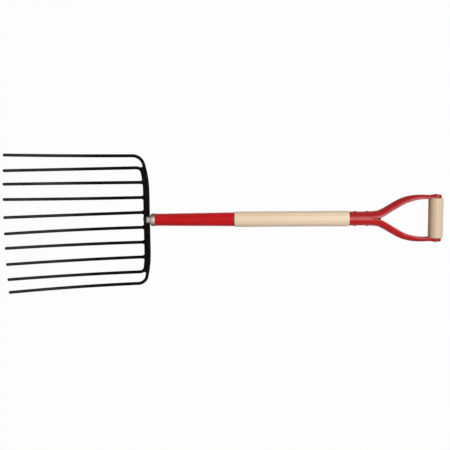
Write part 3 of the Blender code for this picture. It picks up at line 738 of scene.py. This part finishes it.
def tine_reach(y):
    return TINE_REACH - OUTER_TINE_SHORTER * (y / OUTER_TINE_YS[0]) ** 2


def dished(point, bend=(0.0, 0.0), reach=TINE_REACH):
    """Lifts a point of the head's flat layout onto the dish of the tines, and adds its tine's bend."""
    ahead = max(0.0, -point.x)
    share = ahead / reach
    middle, tip = bend
    sideways = share * ((4 * middle - tip) + (2 * tip - 4 * middle) * share)
    slope = math.tan(DISH_ANGLE)
    height = slope * ahead + (TINE_RISE - slope * TINE_REACH) * (ahead / TINE_REACH) ** 2
    return Vector((point.x, point.y + HEAD_OFFSET + sideways, BAR_Z + height))


def tine_radius(point, reach):
    return blend(ROD_RADIUS, TIP_RADIUS, min(1.0, max(0.0, -point.x) / reach))


def rounded_tip(points, radii):
    """Rounds off the last end of a rod."""
    tip, radius = points.pop(), radii.pop()
    onwards = (tip - points[-1]).normalized()
    while (tip - points[-1]).length < radius:
        points.pop()
        radii.pop()
    for step in range(TIP_STEPS + 1):
        angle = TIP_ANGLE * step / TIP_STEPS
        points.append(tip - onwards * radius * (1 - math.sin(angle)))
        radii.append(radius * math.cos(angle))


def half_hoop(tine_y, back, bend_start, bend_radius, sweep, corner_radius):
    bend = bend_start + bend_radius * math.tan(sweep / 2)
    corner = back - math.tan(sweep) * (tine_y - bend)
    return [(-tine_reach(tine_y), tine_y), (corner, tine_y), (back, bend)], [corner_radius, bend_radius]


def whole_hoop(halves):
    (left, left_radii), (right, right_radii) = halves
    mirrored = [(x, -y) for x, y in reversed(right)]
    return rounded_path(left + mirrored, left_radii + right_radii[::-1])


def outer_layout():
    sides = zip(OUTER_TINE_YS, BEND_STARTS, BAR_SWEEPS, OUTER_CORNER_RADII)
    return whole_hoop(
        half_hoop(tine_y, ROD_PITCH, bend_start, BAR_BEND_RADIUS, sweep, corner_radius)
        for tine_y, bend_start, sweep, corner_radius in sides
    )


def inner_layout():
    halves = []
    bend_radius = BAR_BEND_RADIUS - ROD_PITCH
    for tine_y, bend_start, sweep, corner_radius in zip(
        INNER_TINE_YS, BEND_STARTS, BAR_SWEEPS, INNER_CORNER_RADII
    ):
        room = tine_y - corner_radius - bend_start
        followed = min(sweep, math.asin(room / (bend_radius - corner_radius)))
        halves.append(half_hoop(tine_y, 0.0, bend_start, bend_radius, followed, corner_radius))
    return whole_hoop(halves)


def along_layout(layout, y):
    """The x of a hoop's flat layout at y, or None beyond its tines."""
    for above, below in zip(layout, layout[1:]):
        if below.y <= y < above.y:
            return blend(below.x, above.x, (y - below.y) / (above.y - below.y))
    return None


def bar_front(y):
    return along_layout(inner_layout(), y)


def make_hoop(name, layout, bends, finish):
    flat = divided(layout, POINT_SPACING)
    reach = tine_reach(layout[0].y)
    points = [dished(point, bends[0] if point.y > 0 else bends[1], reach) for point in flat]
    radii = [tine_radius(point, reach) for point in flat]
    for _ in range(2):
        rounded_tip(points, radii)
        points.reverse()
        radii.reverse()
    mesh = skin(rod_rings(points, radii, ROD_SIDES))
    add_piece(f"{name}_rod", mesh, finish, [name])


def make_straight_tine(number, y):
    reach = tine_reach(y)
    flat = divided([Vector((bar_front(y), y)), Vector((-reach, y))], POINT_SPACING)
    points = [dished(point, TINE_BENDS[number - 1], reach) for point in flat]
    radii = [tine_radius(point, reach) for point in flat]
    rounded_tip(points, radii)
    mesh = skin(rod_rings(points, radii, ROD_SIDES))
    add_piece(f"tine_{number}_rod", mesh, BLACK, [f"tine_{number}"])
    make_tine_weld(number, y)


def bead(points, sizes, ripples, seed, reference=(0, 0, 1), closed=False):
    """A weld bead along a path: its skin has the ripples of the puddle and a little roughness."""
    if isinstance(sizes, float):
        sizes = [sizes] * len(points)
    radii = []
    count = len(points)
    for index, point in enumerate(points):
        share = index / count if closed else index / (count - 1)
        ripple = abs(math.sin(math.pi * ripples * share))
        end = 1.0 if closed else math.sqrt(max(0.02, 1 - abs(2 * share - 1) ** 6))
        waver = rough(point, *BEAD_WAVER, seed)
        radii.append(sizes[index] * end * (BEAD_FULLNESS + BEAD_RIPPLE * ripple + waver))
    mesh = skin(rod_rings(points, radii, BEAD_SIDES, reference, closed), closed)
    amount = max(sizes) * BEAD_ROUGHNESS
    for vertex in mesh.vertices:
        vertex.co += vertex.normal * rough(vertex.co, BEAD_GRAIN, amount, seed)
    return mesh


def make_tine_weld(number, y):
    """The fillet around a straight tine where it meets the bar's front rod."""
    root = Vector((bar_front(y), y))
    centre = dished(root, TINE_BENDS[number - 1], tine_reach(y))
    points = []
    for angle in full_turn(TINE_WELD_STEPS):
        across = ROD_RADIUS * TINE_WELD_SPREAD * math.cos(angle)
        reach = TINE_WELD_TOP if angle < math.pi else TINE_WELD_BOTTOM
        height = ROD_RADIUS * reach * math.sin(angle)
        ahead = math.sqrt(max(0.0, ROD_RADIUS**2 - height**2))
        ahead += TINE_WELD_STANDOFF + TINE_WELD_BOW * abs(math.cos(angle))
        points.append(centre + Vector((-ahead, across, height)))
    mesh = bead(points, TINE_WELD_RADIUS, 11, 3.1 * number, (1, 0, 0), closed=True)
    add_piece(f"weld_tine_{number}", mesh, WELD, sharp=180)


def make_bar_welds():
    """All the welds between the bar's two rods, with short beads in the grooves above and below."""
    meshes = []
    for seed, (middle, length) in enumerate(BAR_WELDS):
        for side, lift in BAR_WELD_LIFTS.items():
            points = []
            steps = 44
            for step in range(steps + 1):
                y = middle + length * (step / steps - 0.5)
                rod = dished(Vector((bar_front(y), y)))
                points.append(rod + Vector((ROD_PITCH / 2, 0.0, ROD_RADIUS * lift)))
            mesh = bead(points, BAR_WELD_RADIUS, ripples=13, seed=5.7 * seed + side)
            meshes.append(mesh)
    meshes.append(root_bead())
    for side in (1, -1):
        meshes.append(wedge_fill(side))
    add_piece("weld_bar", joined(meshes), WELD, sharp=180)


def root_bead():
    """The weld between the bar's two rods, where they lie side by side."""
    points = []
    steps = 150
    for step in range(steps + 1):
        y = ROOT_WELD_REACH * (1 - 2 * step / steps)
        points.append(dished(Vector((bar_front(y) + ROD_PITCH / 2, y))))
    return bead(points, ROOT_WELD_RADIUS, ripples=60, seed=43.0)


def wedge_fill(side):
    """The weld that fills the narrow end of the wedge where the inner rod leaves the outer one."""
    inner = divided(inner_layout()[::-side], WEDGE_WELD_SPACING)
    outer = divided(outer_layout(), WEDGE_SEARCH_SPACING)
    points, sizes = [], []
    for front in inner:
        if side * front.y < LAST_STRAIGHT_Y + WEDGE_WELD_START:
            continue
        rear = min(outer, key=lambda point: (point - front).length_squared)
        gap = (rear - front).length - ROD_PITCH
        if gap > WEDGE_WELD_GAP:
            break
        points.append(dished((front + rear) / 2))
        sizes.append(min(gap / 2 + WEDGE_WELD_DEPTH, ROD_RADIUS * WEDGE_WELD_FULLEST))
    return bead(points, sizes, ripples=17, seed=31.0 + side)


def make_head():
    last = STRAIGHT_TINES + 4
    make_hoop("outer_hoop", outer_layout(), (TINE_BENDS[0], TINE_BENDS[last - 1]), BLACK_BAR)
    make_hoop("inner_hoop", inner_layout(), (TINE_BENDS[1], TINE_BENDS[last - 2]), BLACK)
    for index in range(STRAIGHT_TINES):
        make_straight_tine(index + 3, LAST_STRAIGHT_Y - index * TINE_PITCH)
    make_bar_welds()


def make_shank():
    """The forging: a domed nose over the bar, a saddle that wraps down its rods, and the tang."""
    neck = SHANK_NOSE + NOSE_LENGTH
    profile = [
        (SHANK_RADIUS * math.cos(angle), neck - NOSE_LENGTH * math.sin(angle))
        for angle in map(math.radians, NOSE_ANGLES)
    ]
    profile += [
        (SHANK_RADIUS, neck),
        (SHANK_RADIUS, FERRULE_FRONT),
        (TANG_ROOT_RADIUS, FERRULE_FRONT + TANG_SHOULDER),
        (TANG_TIP_RADIUS, TANG_TIP - TANG_TIP_RADIUS),
        (TANG_TIP_RADIUS * 0.5, TANG_TIP),
    ]
    body = skin(lathe_rings(profile, SHANK_SIDES))
    rear = CAP_FRONT - 2 * SEAT_GAP
    top = -SHANK_RADIUS / 3
    bottom = BAR_Z + SEAT_GAP
    size = Vector((rear - SHANK_NOSE, 2 * SADDLE_HALF_WIDTH, top - bottom))
    middle = Vector(((rear + SHANK_NOSE) / 2, 0.0, (top + bottom) / 2))
    work = bmesh.new()
    matrix = Matrix.Translation(middle) @ Matrix.Diagonal((*size, 1.0))
    bmesh.ops.create_cube(work, size=1.0, matrix=matrix)
    block = mesh_of(work, "block")
    mesh = softened(combined(body, [("UNION", block)]), FORGING_VOXEL, rounds=5)
    for vertex in mesh.vertices:
        if vertex.co.x < CAP_FRONT:
            vertex.co += vertex.normal * rough(vertex.co, *FORGING_DENTS, 9.0)
    add_piece("shank_forging", mesh, FORGED, ["shank"], sharp=180)


def make_shank_weld():
    """The bead around the foot of the shank, on top of both rods."""
    half_long = ROD_PITCH * SHANK_WELD_HALF_LENGTH
    half_wide = SADDLE_HALF_WIDTH + SHANK_WELD_STANDOFF
    middle = ROD_PITCH * SHANK_WELD_MIDDLE

    def squared(value):
        return math.copysign(abs(value) ** SHANK_WELD_SQUARENESS, value)

    points = []
    for angle in full_turn(SHANK_WELD_STEPS):
        x = middle + half_long * squared(math.cos(angle))
        y = half_wide * squared(math.sin(angle))
        nearest = min(abs(x), abs(x - ROD_PITCH))
        height = math.sqrt(max(0.0, ROD_RADIUS**2 - min(nearest, ROD_RADIUS) ** 2))
        points.append(Vector((x, y, BAR_Z + max(height, ROD_RADIUS * SHANK_WELD_LOWEST))))
    mesh = bead(points, SHANK_WELD_RADIUS, ripples=26, seed=21.0, closed=True)
    add_piece("weld_shank", mesh, WELD, sharp=180)


def make_cap():
    """The pressed cap: a round crown with a hole for the shank, and a wall up to the ferrule."""
    rear = CAP_FRONT + CAP_LENGTH
    rim = FERRULE_FRONT_RADIUS - FERRULE_WALL
    hole = SHANK_RADIUS + SEAT_GAP
    edge = (CAP_RADIUS - CAP_RIM_EDGE, rear - CAP_RIM_EDGE)
    crown = (CAP_RADIUS - CAP_EDGE_RADIUS, CAP_FRONT + CAP_EDGE_RADIUS)
    lip = (hole + CAP_HOLE_EDGE, CAP_FRONT + CAP_HOLE_EDGE)
    profile = [(rim, rear)] + arc(edge, CAP_RIM_EDGE, 90, 0, 4)
    profile += arc(crown, CAP_EDGE_RADIUS, 0, -90, 16) + arc(lip, CAP_HOLE_EDGE, -90, -180, 4)
    profile += [(hole, CAP_FRONT + CAP_WALL), (rim, CAP_FRONT + CAP_WALL + CAP_BEVEL)]
    mesh = skin(lathe_rings(profile, TURN_STEPS), True)
    add_piece("cap_shell", mesh, CAP, ["ferrule_cap"])


def make_ferrule():
    """The long tapered tube, with its rear edge rolled softly on to the wood."""
    front, rear = FERRULE_FRONT, FERRULE_REAR
    front_edge, rear_edge = FERRULE_FRONT_EDGE, FERRULE_REAR_EDGE
    profile = arc((FERRULE_FRONT_RADIUS - front_edge, front + front_edge), front_edge, -90, 0, 4)
    rows = 30
    for row in range(1, rows):
        share = row / rows
        x = blend(front + front_edge, rear - FERRULE_REAR_BAND, share)
        profile.append((blend(FERRULE_FRONT_RADIUS, FERRULE_REAR_RADIUS, share), x))
    profile += arc((FERRULE_REAR_RADIUS - rear_edge, rear - rear_edge), rear_edge, 0, 90, 5)
    profile.append((FERRULE_REAR_RADIUS - FERRULE_WALL, rear))
    profile.append((FERRULE_FRONT_RADIUS - FERRULE_WALL, front))
    mesh = skin(lathe_rings(profile, TURN_STEPS), True)
    add_piece("ferrule_tube", mesh, RED, ["ferrule"])


def turned_across(profile, x, steps):
    """A mesh turned around the line across the shaft at x, with its profile's heights along +Y."""
    mesh = skin(lathe_rings(profile, steps))
    mesh.transform(Matrix.Translation((x, 0, 0)) @ Matrix.Rotation(math.pi / 2, 4, "Z"))
    return mesh


def mirrored_profile(half):
    """A profile from -Y to +Y of which the +Y half is given from its middle outwards."""
    return [(radius, -along) for radius, along in reversed(half)] + half


def make_pins():
    """The two pins through the ferrule, filed flush and painted over."""
    for name, x in (("tang_pin", TANG_PIN_X), ("ferrule_pin", FERRULE_PIN_X)):
        share = (x - FERRULE_FRONT) / FERRULE_LENGTH
        end = blend(FERRULE_FRONT_RADIUS, FERRULE_REAR_RADIUS, share) + PIN_CROWN
        half = [(PIN_RADIUS * width, end - before) for width, before in PIN_END]
        mesh = turned_across(mirrored_profile(half), x, PIN_STEPS)
        add_piece(f"{name}_flush", mesh, RED_RIVET, [name])


def make_shaft():
    """The turned wood, from its nose in the cap to its tenon in the socket."""
    nose = CAP_FRONT + CAP_WALL + SEAT_GAP
    front_radius = FERRULE_FRONT_RADIUS - FERRULE_WALL - SEAT_GAP
    rear_radius = FERRULE_REAR_RADIUS - FERRULE_WALL - SEAT_GAP
    tenon = SOCKET_RADIUS - YOKE_WALL - SEAT_GAP
    tenon_end = SOCKET_REAR - 2 * SEAT_GAP - YOKE_WALL
    shown_rear = SHAFT_FRONT + SHAFT_SHOWN
    profile = [(INNERMOST, nose), (front_radius, nose)]
    profile += [(front_radius, FERRULE_FRONT), (rear_radius, SHAFT_FRONT)]
    front_edge = SHOULDER_EDGE / 2
    profile += arc((SHAFT_RADIUS - front_edge, SHAFT_FRONT + front_edge), front_edge, -90, 0, 8)
    rows = 40
    profile += [
        (SHAFT_RADIUS, blend(SHAFT_FRONT + SHOULDER_EDGE, shown_rear - SHOULDER_EDGE, row / rows))
        for row in range(1, rows)
    ]
    profile += arc((SHAFT_RADIUS - SHOULDER_EDGE, shown_rear - SHOULDER_EDGE), SHOULDER_EDGE, 0, 90, 8)
    profile += [(tenon, shown_rear), (tenon, tenon_end - SHOULDER_EDGE)]
    profile += [(tenon - SHOULDER_EDGE, tenon_end), (INNERMOST, tenon_end)]
    mesh = skin(lathe_rings(profile, TURN_STEPS))
    add_piece("shaft_turned", mesh, ASH, ["shaft"])


def yoke_path():
    spread = [
        (YOKE_FRONT, YOKE_SEAM / 2),
        (CROTCH, YOKE_SEAM / 2),
        (GRIP_X - ARM_STRAIGHT, ARM_INSIDE),
        (GRIP_X - CUP_RADIUS / 4, ARM_INSIDE),
    ]
    return divided(rounded_path(spread, [CROTCH_RADIUS, ARM_BEND_RADIUS]), POINT_SPACING)


def channel_loop(x, pinch):
    """(outwards, up) points around the metal of a pressed channel, whose lips are rounded."""
    arm_start = (CROTCH + GRIP_X - ARM_STRAIGHT) / 2
    arm_end = GRIP_X - CUP_RADIUS
    taper = smooth_step((x - arm_start) / (arm_end - arm_start))
    flatten = smooth_step((x - SOCKET_REAR) / (arm_start - SOCKET_REAR))
    depth = blend(SOCKET_RADIUS - YOKE_SEAM / 2, CUP_OUTSIDE - ARM_INSIDE - CUP_LIP_STEP, taper)
    at_bend = max(0.0, 1 - abs(x - SHOULDER_FILL_X) / SHOULDER_FILL_REACH)
    depth += SHOULDER_FILL * smooth_step(at_bend)
    height = blend(SOCKET_RADIUS, ARM_HALF_HEIGHT, flatten)
    power = 2 / blend(2.0, ARM_SQUARENESS, taper)
    lip = YOKE_WALL / 2
    loop = []

    def side(inset, order):
        for step in order:
            angle = math.pi * (step / CHANNEL_STEPS - 0.5)
            out = lip + (depth - lip - inset) * max(0.0, math.cos(angle)) ** power
            up = (height - inset) * math.copysign(abs(math.sin(angle)) ** power, angle)
            loop.append((out, up))

    def rounded_lip(middle):
        for step in range(1, LIP_STEPS):
            angle = math.pi * step / LIP_STEPS
            reach = lip - pinch
            loop.append((lip - reach * math.sin(angle), middle + reach * math.cos(angle)))

    side(pinch, range(CHANNEL_STEPS + 1))
    rounded_lip(height - lip)
    side(YOKE_WALL - pinch, range(CHANNEL_STEPS, -1, -1))
    rounded_lip(lip - height)
    return loop


def channel_mesh(side):
    """A yoke half's pressed channel, with its metal drawn thinner at the socket's mouth."""
    path = yoke_path()
    rings = []
    stations = [(path[0], MOUTH_PINCH), (path[0].lerp(path[1], MOUTH_PINCH_SHARE), 0.0)]
    stations += [(point, 0.0) for point in path[1:]]
    spots = [point for point, _ in stations]
    for index, (point, pinch) in enumerate(stations):
        before = spots[max(index - 1, 0)]
        after = spots[min(index + 1, len(spots) - 1)]
        along = (after - before).normalized()
        outwards = Vector((-along.y, along.x))
        ring = []
        for out, up in channel_loop(point.x, pinch):
            spot = point + outwards * out
            ring.append(Vector((spot.x, side * spot.y, up)))
        rings.append(ring)
    return skin(rings)


def cup_meshes(side):
    """The round cup for the grip's end, and what is hollowed out of it."""
    inside = CUP_RADIUS - YOKE_WALL
    around = GRIP_RADIUS + GRIP_CLEARANCE
    rim = CUP_MOUTH - CUP_LIP_STEP
    before = ARM_INSIDE - CUP_HOLLOW_START
    outline = [(CUP_INNERMOST, rim), (CUP_RADIUS, rim)]
    outline += arc((CUP_RADIUS - CUP_EDGE, CUP_OUTSIDE - CUP_EDGE), CUP_EDGE, 0, 90, 8)
    outline.append((CUP_INNERMOST, CUP_OUTSIDE))
    hollow = [(CUP_INNERMOST, before), (around, before), (around, CUP_MOUTH)]
    hollow += [(inside, CUP_MOUTH), (inside, CUP_FLOOR), (CUP_INNERMOST, CUP_FLOOR)]
    meshes = []
    for profile, turn in ((outline, 0.0), (hollow, math.pi / TURN_STEPS)):
        mesh = skin(lathe_rings(profile, TURN_STEPS))
        place = Matrix.Translation((GRIP_X, 0, 0)) @ Matrix.Rotation(side * math.pi / 2, 4, "Z")
        mesh.transform(place @ Matrix.Rotation(turn, 4, "X"))
        meshes.append(mesh)
    return meshes


def eye_mesh(side):
    """The cutter of the small hole in the upper skin of an arm, near its inner edge."""
    edge = next(point.y for point in yoke_path() if point.x >= EYE_X)
    middle = Vector((EYE_X, side * (edge + EYE_INSET), 0.0))
    mesh = skin(lathe_rings([(EYE_RADIUS, 0.0), (EYE_RADIUS, EYE_CUT)], EYE_SIDES))
    mesh.transform(Matrix.Translation(middle) @ Matrix.Rotation(-math.pi / 2, 4, "Y"))
    return mesh


def make_yoke_half(name, side):
    cup, hollow = cup_meshes(side)
    steps = [("UNION", cup), ("DIFFERENCE", hollow), ("DIFFERENCE", eye_mesh(side))]
    mesh = combined(channel_mesh(side), steps)
    add_piece(f"{name}_pressing", mesh, RED_YOKE_SHADED[side], [name], sharp=35)


def make_crotch_shade_web():
    """A dark red sheet in the crotch between the two halves, well below their edges, as painted shade
    where their walls fall into shadow.
    """
    path = yoke_path()
    rings = []
    steps = 14
    for step in range(steps + 1):
        share = step / steps
        x = blend(SHADE_WEB_FRONT, SHADE_WEB_REAR, share)
        behind = next(index for index, point in enumerate(path) if point.x > x)
        start, end = path[behind - 1], path[behind]
        half_width = blend(start.y, end.y, (x - start.x) / (end.x - start.x)) + YOKE_WALL / 2
        half_height = blend(SHADE_WEB_FRONT_HALF_HEIGHT, SHADE_WEB_REAR_HALF_HEIGHT, share * share)
        ring = []
        for angle in full_turn(SHADE_WEB_SIDES):
            ring.append(Vector((x, half_width * math.cos(angle), half_height * math.sin(angle))))
        rings.append(ring)
    add_piece("crotch_shade_web", skin(rings), RED_SHADE_WEB)


def headed_rivet(half_grip, radius, head_radius, head_height, x):
    """A rivet across the shaft with a domed head at each end, on a short straight rim."""
    under = half_grip + SEAT_GAP
    rim = under + RIVET_RIM
    half = [(radius, under - RIVET_NECK), (radius, under)]
    half += [(head_radius * RIVET_UNDERSIDE, under), (head_radius, rim)]
    rows = 7
    for row in range(1, rows):
        angle = math.pi / 2 * row / rows
        along = rim + (head_height - RIVET_RIM) * math.sin(angle)
        half.append((head_radius * math.cos(angle), along))
    return turned_across(mirrored_profile(half), x, PIN_STEPS)


def make_d_handle():
    make_yoke_half("yoke_left", 1)
    make_yoke_half("yoke_right", -1)
    make_crotch_shade_web()
    sizes = (SOCKET_RADIUS, RIVET_RADIUS, RIVET_HEAD_RADIUS, RIVET_HEAD_HEIGHT)
    for name, x in (("yoke_rivet_front", YOKE_RIVET_FRONT), ("yoke_rivet_rear", YOKE_RIVET_REAR)):
        add_piece(f"{name}_domed", headed_rivet(*sizes, x), RED_RIVET, [name])
    sizes = (CUP_OUTSIDE, GRIP_RIVET_RADIUS, GRIP_HEAD_RADIUS, GRIP_HEAD_HEIGHT)
    mesh = headed_rivet(*sizes, GRIP_X)
    add_piece("grip_rivet_domed", mesh, RED_RIVET, ["grip_rivet"])
    make_grip()


def make_grip():
    """The turned wood between the cups, with a tenon in each."""
    tenon = CUP_RADIUS - YOKE_WALL - SEAT_GAP
    end = CUP_FLOOR - 2 * SEAT_GAP - CUP_LIP_STEP
    half = [(GRIP_RADIUS, GRIP_ROW * row) for row in range(1, 9)]
    half += arc((GRIP_RADIUS - GRIP_EDGE, GRIP_LENGTH / 2 - GRIP_EDGE), GRIP_EDGE, 0, 90, 10)
    half += [(tenon, GRIP_LENGTH / 2), (tenon, end), (INNERMOST, end)]
    mesh = turned_across(mirrored_profile(half), GRIP_X, TURN_STEPS)
    add_piece("grip_turned", mesh, ASH_GRIP, ["grip"])


def rays_among(tree, *kinds):
    """1 for rays of any of the given kinds, and 0 for all others."""
    rays = tree.nodes.new("ShaderNodeLightPath")
    seen = rays.outputs[kinds[0]]
    for kind in kinds[1:]:
        either = tree.nodes.new("ShaderNodeMath")
        either.operation = "MAXIMUM"
        tree.links.new(seen, either.inputs[0])
        tree.links.new(rays.outputs[kind], either.inputs[1])
        seen = either.outputs["Value"]
    return seen


def make_world():
    """White where the camera, metal or glass sees it, and a dimmer even light on everything else."""
    world = bpy.data.worlds.new("studio")
    bpy.context.scene.world = world
    world.use_nodes = True
    tree = world.node_tree
    background = tree.nodes["Background"]
    background.inputs["Color"].default_value = (1, 1, 1, 1)
    seen = rays_among(tree, "Is Camera Ray", "Is Glossy Ray", "Is Transmission Ray")
    level = tree.nodes.new("ShaderNodeMapRange")
    level.inputs["To Min"].default_value = AMBIENT
    tree.links.new(seen, level.inputs["Value"])
    tree.links.new(level.outputs["Result"], background.inputs["Strength"])


def make_floor():
    """A floor that glows white where it is seen, and is grey enough to keep the fork's shadow."""
    work = bmesh.new()
    bmesh.ops.create_grid(work, x_segments=1, y_segments=1, size=FLOOR_SIZE / 2)
    mesh = mesh_of(work, "floor")
    floor = linked("floor", mesh)
    floor.location.z = -FLOOR_DROP
    material = bpy.data.materials.new("floor_white")
    material.use_nodes = True
    tree = material.node_tree
    surface = tree.nodes["Principled BSDF"]
    surface.inputs["Base Color"].default_value = FLOOR_COLOUR
    surface.inputs["Roughness"].default_value = 0.9
    surface.inputs["Specular IOR Level"].default_value = 0.0
    glow = tree.nodes.new("ShaderNodeEmission")
    share = tree.nodes.new("ShaderNodeMath")
    share.operation = "MULTIPLY"
    share.inputs[1].default_value = FLOOR_GLOW_SHARE
    tree.links.new(rays_among(tree, "Is Camera Ray", "Is Glossy Ray"), share.inputs[0])
    mix = tree.nodes.new("ShaderNodeMixShader")
    tree.links.new(share.outputs["Value"], mix.inputs["Fac"])
    tree.links.new(surface.outputs["BSDF"], mix.inputs[1])
    tree.links.new(glow.outputs["Emission"], mix.inputs[2])
    tree.links.new(mix.outputs["Shader"], tree.nodes["Material Output"].inputs["Surface"])
    mesh.materials.append(material)


def make_key():
    lamp = bpy.data.lights.new("key", "AREA")
    lamp.shape = "SQUARE"
    lamp.size = KEY_SIZE
    lamp.energy = KEY_POWER
    key = linked("key", lamp)
    key.location = KEY_PLACE
    key.rotation_euler = (-Vector(KEY_PLACE)).to_track_quat("-Z", "Y").to_euler()


def make_camera():
    lens = bpy.data.cameras.new("camera")
    lens.sensor_width = CAMERA_SENSOR
    lens.lens = CAMERA_LENS
    lens.clip_start = 0.01
    camera = linked("camera", lens)
    camera.location = CAMERA_PLACE
    camera.rotation_euler = [math.radians(angle) for angle in CAMERA_TURN]
    bpy.context.scene.camera = camera


make_camera()
make_head()
make_shank()
make_shank_weld()
make_cap()
make_ferrule()
make_pins()
make_shaft()
make_d_handle()
make_world()
make_floor()
make_key()
bpy.context.scene.view_settings.view_transform = "Standard"
